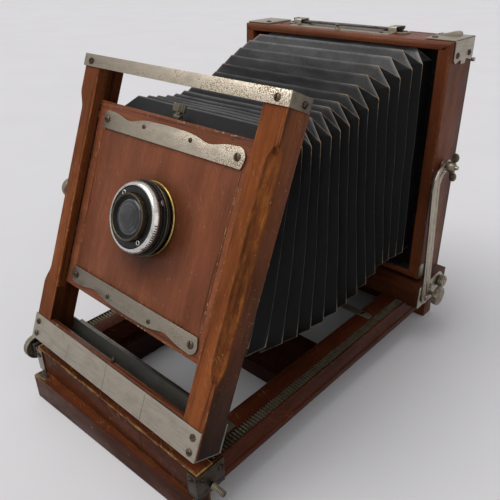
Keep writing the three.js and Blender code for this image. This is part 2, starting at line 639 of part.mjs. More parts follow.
// ---------------------------------------------------------------- lens
function buildLens(g) {
  const at = [0, 0, LENS_HEIGHT];
  const face = PANEL_FACE;
  const flange = turned('y', [[24.5, face - 0.3], [28.9, face - 0.3], [28.9, face - 1], [28.2, face - 1.7],
    [24.5, face - 1.7], [24.5, face - 0.3]], at, 36);
  add(g, 'lens_flange', flange, 'brass');
  const barrel = [[0, 17.6], [14.6, 16.6], [14.6, 20], [21.5, 20], [21.5, face - 0.4], [24.2, face - 0.4],
    [24.2, 5.4], [26.6, 5.4], [26.6, 1.9], [25.4, 1.9], [25.4, 1.4], [20, 1.4], [20, 12.4], [0, 12.4]];
  add(g, 'lens_barrel', turned('y', barrel, at, 36), 'bronze');
  const iris = [[25.6, 1.1], [28.2, 1.1], [28.6, 0.6], [28.6, -1.2], [28.2, -1.8], [25.6, -1.8], [25.6, 1.1]];
  add(g, 'iris_ring', join(
    turned('y', iris, at, 36),
    rod('x', 1.2, -31.2, -27, [0, -0.3, LENS_HEIGHT - 4], 10),
  ), 'bronze');
  const drum = [[6, 3.4], [19.7, 3.4], [19.7, 1.1], [25.2, 1.1], [25.2, -5.6], [22.7, -5.8], [22.7, -8.8],
    [18, -8.8], [18, 2.6], [6, 2.6], [6, 3.4]];
  const heads = [131, -49].map((a) => screwHead('y', -1,
    [20.4 * Math.cos(a * DEG), -8.8, LENS_HEIGHT + 20.4 * Math.sin(a * DEG)], 1.6, 1));
  add(g, 'shutter_drum', join(turned('y', drum, at, 36), ...heads), 'blackEnamel');
  const dial = [[25.5, -2.2], [26.6, -2.2], [26.6, -5.4], [25.9, -7.6], [23.6, -9.2], [23, -9.2], [23, -6.1],
    [25.5, -5.9], [25.5, -2.2]];
  add(g, 'speed_ring', turned('y', dial, at, 36), 'silver');
  const hood = [[14.4, 1], [14.4, -10.6], [16.1, -13], [17, -13.5], [17.6, -13], [17.7, -9.8], [17.7, 1], [14.4, 1]];
  add(g, 'front_cell', turned('y', hood, at, 36), 'bronze');
  add(g, 'front_glass', turned('y', [[0, -3.2], [14.1, -6], [14.1, -9], [10.5, -11.2], [6, -12.6], [0, -13.1]]
    .map(([r, y]) => [r, y + 1.5]), at, 32), 'glass');
}

// ---------------------------------------------------------------- bellows
// y and z of a point of the leaning standard, from its height along the standard and its depth behind the face
function standardPoint(height, depth) {
  return [STANDARD_Y + height * Math.sin(LEAN) + depth * Math.cos(LEAN),
    height * Math.cos(LEAN) - depth * Math.sin(LEAN)];
}

function shareAt(table, t) {
  const next = Math.max(1, table.findIndex(([place]) => place >= t));
  const [t0, a] = table[next - 1];
  const [t1, b] = table[next];
  return a + (b - a) * (t - t0) / (t1 - t0);
}

function between(a, b, t) {
  return a + (b - a) * t;
}

// one ring of eight corners: fold is 1 where the sides stand out, -1 where the top and bottom do, 0 at an end
function bellowsRing(t, fold, shrink) {
  const depth = PLEAT_DEPTH - PLEAT_DEPTH_LOSS * t;
  const frontDepth = PANEL_FACE + PANEL_THICK + 7;
  const [frontTopY, frontTop] = standardPoint(PANEL_TOP - 7, frontDepth);
  const [frontLowY, frontLow] = standardPoint(PANEL_BOTTOM + 5.8, frontDepth);
  const out = between(FRAME_HALF - 16.5, STANDARD_HALF - 26.5, t);
  const side = out - depth * (1 - fold) / 2 - shrink;
  const end = out - BELLOWS_CORNER - shrink;
  const crest = frontTop + (FRAME_TOP - FRAME_CAP - 1.3 - frontTop) * shareAt(TOP_LINE, t);
  const keel = between(FRAME_BOTTOM + 12, frontLow, t) - BELLOWS_SAG * Math.sin(Math.PI * t);
  const top = crest - depth * (1 + fold) / 2 - shrink;
  const low = keel + depth * (1 + fold) / 2 + shrink;
  const sideTop = crest - 9 - 5.5 * t - shrink;
  const sideLow = keel + 13 + shrink;
  const topY = between(BELLOWS_REAR_Y, frontTopY, t);
  const lowY = between(BELLOWS_REAR_Y, frontLowY, t);
  const lean = (z) => topY + (lowY - topY) * (crest - z) / (crest - keel);
  return [[-end, top], [end, top], [side, sideTop], [side, sideLow], [end, low], [-end, low], [-side, sideLow],
    [-side, sideTop]].map(([x, z]) => [x, lean(z), z]);
}

function buildBellows() {
  const g = section(camera, 'bellows_group');
  const folds = [[0, 0], [SIDE_FOLDS[0] * 0.4, -1]];
  SIDE_FOLDS.forEach((t, i) => {
    const next = i + 1 < SIDE_FOLDS.length ? SIDE_FOLDS[i + 1] : 1;
    folds.push([t, 1], [(t + next) / 2, -1]);
  });
  folds.push([1, 0]);
  const outer = folds.map(([t, fold]) => bellowsRing(t, fold, 0));
  const inner = folds.map(([t, fold]) => bellowsRing(t, fold, BELLOWS_SKIN));
  const rings = [...outer, ...inner];
  const n = 8;
  const index = [];
  const quad = (p, q, r, t, mitre) => index.push(...(mitre ? [p, q, r, q, t, r] : [p, q, t, p, t, r]));
  for (let k = 0; k + 1 < outer.length; k += 1) {
    const standsOut = folds[k][1] === 0 ? folds[k + 1][1] < 0 : folds[k][1] > 0;
    for (let i = 0; i < n; i += 1) {
      const j = (i + 1) % n;
      // the cloth at a corner folds along the line from one pleat's tip to the next
      const mitre = standsOut === (i === 1 || i === 5);
      const a = k * n;
      const b = a + outer.length * n;
      quad(a + i, a + j, a + n + i, a + n + j, mitre);
      quad(b + j, b + i, b + n + j, b + n + i, !mitre);
    }
  }
  for (let i = 0; i < n; i += 1) {
    const j = (i + 1) % n;
    const last = (outer.length - 1) * n;
    const skin = outer.length * n;
    quad(j, i, skin + j, skin + i, false);
    quad(last + i, last + j, last + skin + i, last + skin + j, false);
  }
  const shell = new THREE.BufferGeometry();
  shell.setAttribute('position', new THREE.Float32BufferAttribute(rings.flat(2), 3));
  shell.setIndex(index);
  add(g, 'bellows', outward(shell), 'bellowsLeather');
  const frontFrame = standardGroup(g, 'bellows_front');
  const y0 = PANEL_FACE + PANEL_THICK + GAP;
  add(frontFrame, 'bellows_front_frame', mitredFrame([[0, y0], [0, y0 + 6.3], [16, y0 + 6.3], [16, y0]],
    STANDARD_HALF - 24.8, PANEL_MIDDLE, PANEL_TOP - PANEL_MIDDLE - 1.65), 'blackWood');
}

// ---------------------------------------------------------------- rear carriage
function buildRearCarriage() {
  const g = section(camera, 'rear_carriage');
  const lip = BED_HALF + 1.6;
  const tunnel = PINION_RADIUS + RACK_MODULE + 0.8;
  const outline = [[-BLOCK_HALF, -2], [-lip, -2], [-lip, 0.5], [lip, 0.5], [lip, -2], [BLOCK_HALF, -2],
    [BLOCK_HALF, BLOCK_TOP], [-BLOCK_HALF, BLOCK_TOP]];
  const seat = block(-BED_HALF + 7, BED_HALF - 7, TILT_Y - 8, TILT_Y + 8, BLOCK_TOP - 1, SEAT_TOP);
  const body = join(slab('y', outline, BLOCK_FRONT, BLOCK_BACK), seat);
  add(g, 'rear_block', carve(
    body,
    rod('x', 2.2 + GAP, -BLOCK_HALF - 10, BLOCK_HALF + 10, [0, PINION_Y, PINION_Z], 16),
    ...SIDES.map(([, s]) => rod('x', tunnel, ...span(s, RACK_MIDDLE - 5, RACK_MIDDLE + 5), [0, PINION_Y, PINION_Z], 24)),
    ...SIDES.map(([, s]) => block(...span(s, RACK_MIDDLE - 5, RACK_MIDDLE + 5), PINION_Y - tunnel, PINION_Y + tunnel, -3, 2)),
    block(-RACK_MIDDLE, RACK_MIDDLE, PINION_Y - 2.5, PINION_Y + 2.5, -3, PINION_Z),
  ), 'mahogany');
  for (const [side, sign] of SIDES) {
    const x = BLOCK_HALF + GAP;
    const plate = [[BLOCK_FRONT, -2], [BLOCK_BACK - 6, -2], [BLOCK_BACK - 6, 12], [BLOCK_BACK - 14, 22],
      [BLOCK_FRONT + 3, 22], [BLOCK_FRONT, 18]];
    add(g, `end_plate_${side}`, join(
      slab('x', plate, ...span(sign, x, x + END_PLATE), [circle(PINION_Y, PINION_Z, 2.2 + GAP, 16)]),
      rod('x', 2, ...span(sign, x + 1, x + 5.4), [0, STRUT_FOOT[0], STRUT_FOOT[1]], 14),
      screwHead('x', sign, [sign * (x + END_PLATE), BLOCK_BACK - 11, 3]),
      rod('x', 2, ...span(sign, x + 1, x + 8), [0, 33, 13], 14),
    ), 'nickel');
    add(g, `swing_nut_${side}`, swingNut(sign, x + END_PLATE + 0.4), 'nickel');
  }
  add(g, 'focus_pinion', focusPinion(), 'nickel');
}

const STRUT_FOOT = [2, 8];             // y and z of the pivot at the foot of each strut

function swingNut(sign, x) {
  const profile = [[2.3, x], [5, x], [6.2, x + 0.8], [6.2, x + 5], [5.4, x + 5.8], [2.3, x + 5.8], [2.3, x]]
    .map(([r, h]) => [r, h * sign]);
  return turned('x', profile, [0, 33, 13], 24);
}

// one shaft across the block with a pinion over each rack and a knob pinned on each end
function focusPinion() {
  const knob = BLOCK_HALF + 6.3;
  const shaft = rod('x', 2, -knob - 4.8, knob + 4.8, [0, PINION_Y, PINION_Z], 16);
  const outer = PINION_RADIUS + RACK_MODULE;
  const root = PINION_RADIUS - 1.25 * RACK_MODULE;
  const outline = [];
  for (let i = 0; i < PINION_TEETH; i += 1) {
    const a = 2 * Math.PI * i / PINION_TEETH + PINION_PHASE;
    const p = 2 * Math.PI / PINION_TEETH;
    for (const [r, k] of [[root, -0.28], [outer, -0.08], [outer, 0.08], [root, 0.28]]) {
      outline.push([PINION_Y + r * Math.cos(a + k * p), PINION_Z + r * Math.sin(a + k * p)]);
    }
  }
  const pinions = SIDES.map(([, s]) => slab('x', outline, ...span(s, RACK_MIDDLE - 3.6, RACK_MIDDLE + 3.6)));
  const knobs = SIDES.map(([, s]) => turned('x', [[0, 0], [6, 0], [9.2, 0.6], [9.8, 1.4],
    [9.8, 5], [9.2, 5.8], [7, 6.1], [5.4, 5.4], [0, 5.4]].map(([r, x]) => [r, (knob + x) * s]),
  [0, PINION_Y, PINION_Z], 24));
  return join(shaft, ...pinions, ...knobs);
}

// turns the pinion so that one tooth points down into the middle of a rack gap
const GAP_INDEX = Math.round((PINION_Y - RACK_START) / RACK_PITCH);
const GAP_Y = RACK_START + GAP_INDEX * RACK_PITCH;
const PINION_PHASE = -Math.PI / 2 + (GAP_Y - PINION_Y) / PINION_RADIUS;

// ---------------------------------------------------------------- rear frame, struts and fittings
const WING_Y = 19;
const WING_Z = 139;

function buildRearFrame() {
  const g = section(camera, 'rear_frame_group');
  const profile = [];
  for (let i = 0; i <= 5; i += 1) {
    const a = i / 5 * Math.PI / 2;
    profile.push([FRAME_ROUND * (1 - Math.sin(a)), FRAME_ROUND * (1 - Math.cos(a))]);
  }
  profile.push([FRAME_CAP, 0], [FRAME_CAP, FRAME_DEEP], [0, FRAME_DEEP]);
  const order = [...profile.slice(0, 6), ...profile.slice(6).reverse()];
  const y1 = BELLOWS_REAR_Y + GAP;
  const studs = SIDES.flatMap(([, s]) => [
    rod('x', 1.9, ...span(s, FRAME_HALF - 4, FRAME_HALF + 14.6), [0, WING_Y, WING_Z], 14),
    rod('x', 5, ...span(s, FRAME_HALF - 4, FRAME_HALF + 3), [0, WING_Y, WING_Z], 16),
  ]);
  add(g, 'rear_frame', join(
    frameBody(order),
    mitredFrame([[0, y1], [0, y1 + 6], [22, y1 + 6], [22, y1]], FRAME_HALF - FRAME_WALL + 0.5, FRAME_MIDDLE,
      FRAME_RISE - FRAME_CAP + 0.5),
    ...studs,
  ), 'mahogany');
  for (const [side, sign] of SIDES) {
    add(g, `corner_wrap_${side}`, cornerWrap(sign), 'nickel');
    add(g, `wing_nut_${side}`, wingNut(sign), 'nickel');
    const strutGroup = section(g, `strut_pivot_${side}`);
    strutGroup.position.set(sign * (BLOCK_HALF + GAP + END_PLATE + 1.5), STRUT_FOOT[0], STRUT_FOOT[1]);
    strutGroup.rotation.y = -sign * STRUT_LEAN;
    add(strutGroup, `strut_${side}`, strut(), 'nickel');
  }
  buildHandle(g);
}

function frameBody(profile) {
  const round = FRAME_ROUND;
  return join(
    mitredFrame(profile, FRAME_HALF, FRAME_MIDDLE, FRAME_RISE),
    ...SIDES.map(([, s]) => block(...span(s, FRAME_HALF - FRAME_WALL, FRAME_HALF - round), 0, FRAME_DEEP,
      FRAME_BOTTOM + round, FRAME_TOP - round)),
  );
}

// L-shaped nickel plate over a top corner, scalloped where it ends on the side
function cornerWrap(sign) {
  const x = FRAME_HALF + GAP;
  const z = FRAME_TOP + GAP;
  const y0 = 6.5;
  const y1 = 42;
  const side = [[y0, z + 1], [y0, z - 15.5], [y0 + 3, z - 18]];
  for (let i = 1; i < 8; i += 1) {
    const t = i / 8;
    side.push([y0 + 3 + (y1 - y0 - 6) * t, z - 18 + 2.6 * Math.sin(Math.PI * t) * (t > 0.35 && t < 0.65 ? -0.6 : 1)]);
  }
  side.push([y1 - 3, z - 18], [y1, z - 15.5], [y1, z + 1]);
  const catchPieces = sign < 0 ? [] : [
    slab('y', [[x - 29, z], [x - 8, z], [x - 8, z + 3.4], [x - 10, z + 4.4], [x - 15, z + 4], [x - 22, z + 1.6],
      [x - 29, z + 1.4]], 27, 37),
  ];
  return join(
    slab('x', side, ...span(sign, x, x + 1)),
    block(...span(sign, x - 27.3, x + 1), y0, y1, z, z + 1),
    ...catchPieces,
    screwHead('x', sign, [sign * (x + 1), 11.5, z - 11.6]),
    screwHead('x', sign, [sign * (x + 1), 34, z - 11.6]),
    screwHead('z', 1, [sign * (x - 21.3), 13, z + 1]),
  );
}

// the strut leans in from the block's end plate to the stud on the narrower frame
const STRUT_LEAN = Math.atan2(BLOCK_HALF + END_PLATE - FRAME_HALF - 2.62, WING_Z - STRUT_FOOT[1]);

// flat strap in its own frame: pivot at the origin, head bent back to a slot for the wing stud
function strut() {
  const headY = WING_Y - STRUT_FOOT[0];
  const headZ = WING_Z - STRUT_FOOT[1];
  const bend = 19.5;
  const bendZ = headZ + 1 - bend;
  const half = 6.8;
  const headHalf = 5.3;
  const shank = [[-half, 0], [half, 0], [headY - bend + half, bendZ + 0.5], [headY - bend - half, bendZ + 0.5]];
  const outer = [];
  const inner = [];
  for (let i = 0; i <= 8; i += 1) {
    const a = Math.PI - Math.PI / 2 * i / 8;
    const w = half + (headHalf - half) * i / 8;
    outer.push([headY + (bend + w) * Math.cos(a), bendZ + (bend + w) * Math.sin(a)]);
    inner.push([headY + (bend - w) * Math.cos(a), bendZ + (bend - w) * Math.sin(a)]);
  }
  const slot = [];
  for (let i = 0; i <= 12; i += 1) {
    const a = Math.PI * i / 6 - (i > 6 ? Math.PI / 6 : 0);
    slot.push([headY + 2.6 * Math.cos(a), headZ + (i > 6 ? -1.9 : 1.9) + 2.6 * Math.sin(a)]);
  }
  return carve(
    join(
      slab('x', circle(0, 0, half, 24), -0.7, 0.7),
      slab('x', shank, -0.7, 0.7),
      slab('x', [...outer, ...inner.reverse()], -0.7, 0.7),
      slab('x', circle(headY, headZ + 1, headHalf, 20), -0.7, 0.7),
    ),
    slab('x', circle(0, 0, 2.35, 16), -1, 1),
    slab('x', slot, -1, 1),
  );
}

function wingNut(sign) {
  const x = FRAME_HALF + 5.8;
  const boss = [[2.2, x], [4.6, x], [4.6, x + 2], [3.6, x + 6], [2.2, x + 6], [2.2, x]].map(([r, h]) => [r, h * sign]);
  const wing = (up) => {
    const shape = circle(0, 0, 4.2, 16).map(([a, b]) => [x + 5 + a * 0.8, b + up * 9]);
    const g = slab('y', shape.map(([a, b]) => [a * sign, b]), -0.9, 0.9);
    g.translate(0, WING_Y, WING_Z);
    return g;
  };
  const web = (up) => {
    const g = block(...span(sign, x + 1.5, x + 6), -0.9, 0.9, ...(up > 0 ? [3.2, 7] : [-7, -3.2]));
    g.translate(0, WING_Y, WING_Z);
    return g;
  };
  return join(turned('x', boss, [0, WING_Y, WING_Z], 20), wing(1), wing(-1), web(1), web(-1));
}

// bare steel core of the carrying handle between two nickel end loops
function buildHandle(g) {
  const z = FRAME_TOP + GAP;
  const ends = [-60, 47];
  const y = 27;
  for (const [name, x] of [['left', ends[0]], ['right', ends[1]]]) {
    const loop = carve(
      block(x - 4, x + 4, y - 7, y + 7, z, z + 7),
      block(x - 5, x + 5, y - 5.2, y + 5.2, z + 1.4, z + 5.7),
    );
    const ears = [block(x - 13, x + 13, y - 6, y + 6, z, z + 1.2)];
    const heads = [-10.8, 10.8].map((d) => screwHead('z', 1, [x + d, y, z + 1.2], 2, 0.9));
    add(g, `handle_loop_${name}`, join(loop, ...ears, ...heads), 'nickel');
  }
  const low = z + 2.3;
  add(g, 'handle_bar', join(
    block(ends[0] - 7, ends[1] + 7, y - 4.6, y + 4.6, low, low + 1.6),
    block(ends[0] - 7, ends[0] - 5, y - 4.6, y + 4.6, low, low + 4.4),
    block(ends[1] + 5, ends[1] + 7, y - 4.6, y + 4.6, low, low + 4.4),
  ), 'steel');
}

// ---------------------------------------------------------------- spring back with ground glass
function buildBack() {
  const g = section(camera, 'back_group');
  const y0 = FRAME_DEEP + GAP;
  const y1 = y0 + BACK_DEEP;
  const rise = BACK_RISE;
  const pinZ = FRAME_MIDDLE + BACK_RISE - 11.5;
  const windowHalf = GLASS_FRAME_HALF - 16;
  const windowRise = GLASS_FRAME_RISE - 10;
  const pins = SIDES.flatMap(([, s]) => [
    rod('x', 1.8, ...span(s, BACK_HALF - 3, BACK_HALF + 8.4), [0, y0 + 6, pinZ], 12),
    rod('x', 3, ...span(s, BACK_HALF - 3, BACK_HALF + 1.5), [0, y0 + 6, pinZ], 12),
  ]);
  add(g, 'back_frame', carve(
    join(
      mitredFrame([[0, y0], [0, y1 - 1.5], [1.5, y1], [30, y1], [30, y0]], BACK_HALF, FRAME_MIDDLE, rise),
      block(-windowHalf - 4, windowHalf + 4, y0 + 1, y1 - 0.4,
        FRAME_MIDDLE - windowRise - 20, FRAME_MIDDLE + windowRise + 20),
      ...pins,
    ),
    block(-windowHalf, windowHalf, 0, 100, FRAME_MIDDLE - windowRise, FRAME_MIDDLE + windowRise),
  ), 'mahogany');
  const f0 = y1 + GAP;
  const f1 = f0 + GLASS_FRAME_DEEP;
  const edge = 13;
  const ledge = 4;
  const opening = [[0, f0], [0, f1], [edge - ledge, f1], [edge - ledge, f0 + 3.6], [edge, f0 + 3.6], [edge, f0]];
  add(g, 'glass_frame', mitredFrame(opening, GLASS_FRAME_HALF, FRAME_MIDDLE, GLASS_FRAME_RISE), 'mahogany');
  const gx = GLASS_FRAME_HALF - edge + ledge - GAP;
  const gz = GLASS_FRAME_RISE - edge + ledge - GAP;
  add(g, 'ground_glass', block(-gx, gx, f0 + 3.9, f0 + 5.9, FRAME_MIDDLE - gz, FRAME_MIDDLE + gz), 'groundGlass');
  for (const [side, sign] of SIDES) {
    add(g, `back_spring_${side}`, backSpring(sign, y1, f1), 'steel');
  }
}

// leaf spring: screwed to the back at its middle foot, its tip bears on the ground-glass frame
function backSpring(sign, foot, top) {
  const x0 = sign * (BACK_HALF - 3);
  const tip = sign * (BACK_HALF - 25);
  const y = foot + 0.3;
  const half = 7;
  const arch = 3.6;
  const points = [[x0, y], [x0 - sign * 5.4, y], [x0 - sign * 8, top + arch - 0.6],
    [x0 - sign * 9.4, top + arch], [x0 - sign * 11, top + arch], [tip, top + GAP]];
  const thick = 0.9;
  const lean = [0, 0.9, 0.7, 0.2, 0, 0];
  const outline = [...points, ...points.map(([a, b], i) => [a + sign * lean[i], b + thick]).reverse()];
  const leaf = slab('z', outline, FRAME_MIDDLE - half, FRAME_MIDDLE + half);
  return join(leaf, screwHead('y', 1, [x0 - sign * 2.6, y + thick, FRAME_MIDDLE], 1.8, 0.9));
}

buildLowerFrame();
buildBed();
buildCarriage();
buildStandard();
buildPanel();
buildBellows();
buildRearCarriage();
buildRearFrame();
buildBack();

export default camera;
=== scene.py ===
import json
import math
from functools import partial

import bmesh
import bpy
import numpy as np
from mathutils import Matrix, Vector, noise

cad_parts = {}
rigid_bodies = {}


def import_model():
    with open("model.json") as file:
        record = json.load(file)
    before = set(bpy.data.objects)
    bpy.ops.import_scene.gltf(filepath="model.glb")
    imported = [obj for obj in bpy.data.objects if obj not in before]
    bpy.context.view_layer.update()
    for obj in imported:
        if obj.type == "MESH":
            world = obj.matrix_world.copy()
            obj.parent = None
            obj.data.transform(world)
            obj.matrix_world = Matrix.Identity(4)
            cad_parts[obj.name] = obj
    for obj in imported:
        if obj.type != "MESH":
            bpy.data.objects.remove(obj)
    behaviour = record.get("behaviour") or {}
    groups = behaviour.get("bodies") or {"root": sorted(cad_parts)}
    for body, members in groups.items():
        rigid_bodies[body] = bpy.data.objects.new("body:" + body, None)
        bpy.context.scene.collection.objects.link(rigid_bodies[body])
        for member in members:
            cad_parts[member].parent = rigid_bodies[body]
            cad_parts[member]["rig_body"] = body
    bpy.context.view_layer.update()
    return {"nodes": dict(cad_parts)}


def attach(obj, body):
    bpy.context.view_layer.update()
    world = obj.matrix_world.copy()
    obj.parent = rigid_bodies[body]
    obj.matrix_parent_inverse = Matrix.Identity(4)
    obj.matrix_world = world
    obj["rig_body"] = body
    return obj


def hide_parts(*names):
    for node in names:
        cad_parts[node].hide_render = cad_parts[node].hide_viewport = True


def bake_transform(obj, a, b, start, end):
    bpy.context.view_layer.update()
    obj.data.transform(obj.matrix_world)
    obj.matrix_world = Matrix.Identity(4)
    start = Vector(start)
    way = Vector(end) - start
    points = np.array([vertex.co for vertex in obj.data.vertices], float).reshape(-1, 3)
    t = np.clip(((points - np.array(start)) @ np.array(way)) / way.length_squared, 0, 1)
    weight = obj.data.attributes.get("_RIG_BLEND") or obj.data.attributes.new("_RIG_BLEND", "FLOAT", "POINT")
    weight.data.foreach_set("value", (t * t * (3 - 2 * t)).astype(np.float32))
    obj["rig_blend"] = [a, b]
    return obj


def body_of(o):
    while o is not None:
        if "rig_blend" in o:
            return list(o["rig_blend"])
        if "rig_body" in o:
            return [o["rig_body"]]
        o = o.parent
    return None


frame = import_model()

bl_info = {
    "name": "Wooden View Camera",
    "version": (1, 0, 0),
    "blender": (4, 5, 0),
    "location": "View3D > Sidebar > View Camera",
    "description": "Builds a mahogany view camera with pleated bellows around its packed frame",
    "category": "Add Mesh",
}

# ------------------------------------------------------------ places, in millimetres
# The upper bed's top is z = 0 and the face of the rear frame is y = 0. The lens looks along -Y.
MM = 0.001
ORIGIN = Vector((0, 115.7, 50))
LEAN = math.radians(23)
STANDARD_Y = -298.5
UPRIGHT = Matrix.Translation(ORIGIN)
LEANING = Matrix.Translation(ORIGIN + Vector((0, STANDARD_Y, 0))) @ Matrix.Rotation(-LEAN, 4, "X")
SIDES = (("left", -1), ("right", 1))
STANDARD_HALF = 106.8                       # outer faces of the uprights
LENS_HEIGHT = 155.3                         # along the standard
# the rear frame: outer half width, middle, outer half height and top
FRAME_HALF, FRAME_MIDDLE, FRAME_RISE, FRAME_TOP = 113, 135.5, 111.5, 247


# ------------------------------------------------------------ mesh forms
def softened(points, faces, width, segments=2, angle=30):
    """The form with its hard edges rounded over by width."""
    bm = bmesh.new()
    verts = [bm.verts.new(p) for p in points]
    for face in faces:
        bm.faces.new([verts[i] for i in face])
    bmesh.ops.recalc_face_normals(bm, faces=bm.faces)
    bmesh.ops.dissolve_limit(bm, angle_limit=math.radians(0.6), verts=bm.verts, edges=bm.edges)
    if width > 0:
        hard = [e for e in bm.edges if len(e.link_faces) == 2 and e.calc_face_angle() > math.radians(angle)]
        bmesh.ops.bevel(bm, geom=hard, offset=width, segments=segments, profile=0.6, affect="EDGES",
                        clamp_overlap=True)
    bm.verts.index_update()
    made = [v.co[:] for v in bm.verts], [[v.index for v in f.verts] for f in bm.faces]
    bm.free()
    return made


def loft(rings, closed=False, capped=True):
    """Skins rings that all have the same number of points."""
    count = len(rings[0])
    points = [p for ring in rings for p in ring]
    faces = []
    spans = len(rings) if closed else len(rings) - 1
    for k in range(spans):
        a, b = k * count, (k + 1) % len(rings) * count
        faces += [(a + i, a + (i + 1) % count, b + (i + 1) % count, b + i) for i in range(count)]
    if capped and not closed:
        faces.append(tuple(range(count))[::-1])
        faces.append(tuple(range(len(points) - count, len(points))))
    return points, faces


def along(axis, u, v, w):
    """A point from its place across and along the named axis."""
    return {"x": (w, u, v), "y": (u, w, v), "z": (u, v, w)}[axis]


def slab(axis, outline, low, high):
    return loft([[along(axis, u, v, w) for u, v in outline] for w in (low, high)])


def oblong(x0, x1, y0, y1):
    return [(x0, y0), (x1, y0), (x1, y1), (x0, y1)]


def block(x0, x1, y0, y1, z0, z1):
    return slab("z", oblong(x0, x1, y0, y1), z0, z1)


def span(sign, inner, outer):
    return (inner, outer) if sign > 0 else (-outer, -inner)


def disc(cx, cy, radius, count=32, start=0.0, turn=math.tau):
    steps = count if turn > 6.28 else count - 1
    return [(cx + radius * math.cos(start + turn * i / steps), cy + radius * math.sin(start + turn * i / steps))
            for i in range(count)]


def arc(cx, cy, radius, start, end, steps):
    """Points on a circle from start to end degrees."""
    return [(cx + radius * math.cos(math.radians(start + (end - start) * i / steps)),
             cy + radius * math.sin(math.radians(start + (end - start) * i / steps))) for i in range(steps + 1)]


def bent(before, corner, after, radius, even, steps=3):
    """The points that round one corner. even gives both its sides the reach of the shorter one."""
    a, b = before - corner, after - corner
    reach_a, reach_b = min(radius, a.length * 0.45), min(radius, b.length * 0.45)
    if even:
        reach_a = reach_b = min(reach_a, reach_b)
    if min(reach_a, reach_b) < 0.02:
        return [corner]
    start, end = corner + a.normalized() * reach_a, corner + b.normalized() * reach_b
    shares = [i / steps for i in range(steps + 1)]
    return [start * (1 - t) ** 2 + corner * 2 * t * (1 - t) + end * t * t for t in shares]


def eased(profile, radius=0.3):
    """An open line with each inner corner rounded to about radius."""
    line = [Vector(p) for p in profile]
    corners = [bent(*three, radius, True) for three in zip(line, line[1:], line[2:])]
    return [line[0]] + sum(corners, []) + [line[-1]]


def rounded(outline, radius):
    """A closed outline with its corners rounded; radius is one number or one for each corner."""
    line = [Vector(p) for p in outline]
    radii = radius if hasattr(radius, "__len__") else [radius] * len(line)
    corners = [bent(line[i - 1], line[i], line[(i + 1) % len(line)], r, False) for i, r in enumerate(radii)]
    return [tuple(p) for p in sum(corners, [])]


def ease(t):
    t = min(max(t, 0.0), 1.0)
    return t * t * (3 - 2 * t)


def turned(axis, profile, centre, sides=48, ridges=0, depth=0.0, where=None):
    """A lathe form from (radius, place along the axis); ridges cut knurling where(radius, place) says."""
    def at(r, h, a):
        return tuple(Vector(centre) + Vector(along(axis, r * math.cos(a), r * math.sin(a), h)))

    rings = []
    for r, h in profile:
        if r < 1e-3:
            continue
        turn = [math.tau * i / sides for i in range(sides)]
        cut = [depth * (0.5 - 0.5 * math.cos(ridges * a)) if ridges and where(r, h) else 0.0 for a in turn]
        rings.append([at(r - c, h, a) for a, c in zip(turn, cut)])
    points, faces = loft(rings, capped=False)
    for first, (r, h) in ((0, profile[0]), ((len(rings) - 1) * sides, profile[-1])):
        if r < 1e-3:
            points.append(at(0, h, 0))
            faces += [(first + i, first + (i + 1) % sides, len(points) - 1) for i in range(sides)]
    return points, faces


def facing(direction, at, twist=0.0):
    """The matrix that stands a form on its +Z foot along direction at a place."""
    return (Matrix.Translation(Vector(at)) @ Vector(direction).to_track_quat("Z", "Y").to_matrix().to_4x4()
            @ Matrix.Rotation(twist, 4, "Z"))


def moved(form, matrix):
    return [tuple(matrix @ Vector(p)) for p in form[0]], form[1]


def from_cad(node, placed=UPRIGHT):
    """The faces of a CAD node, in millimetres from the zero of the place that it stands in."""
    back = placed.inverted()
    bm = bmesh.new()
    bm.from_mesh(frame["nodes"][node].data)
    bmesh.ops.remove_doubles(bm, verts=bm.verts, dist=2e-6)
    bm.verts.index_update()
    points = [tuple(back @ (v.co / MM)) for v in bm.verts]
    faces = [[v.index for v in f.verts] for f in bm.faces]
    bm.free()
    return points, faces


def size(name):
    """A size of the add-on's panel, in millimetres."""
    return getattr(bpy.context.scene.view_camera_sizes, name) / MM


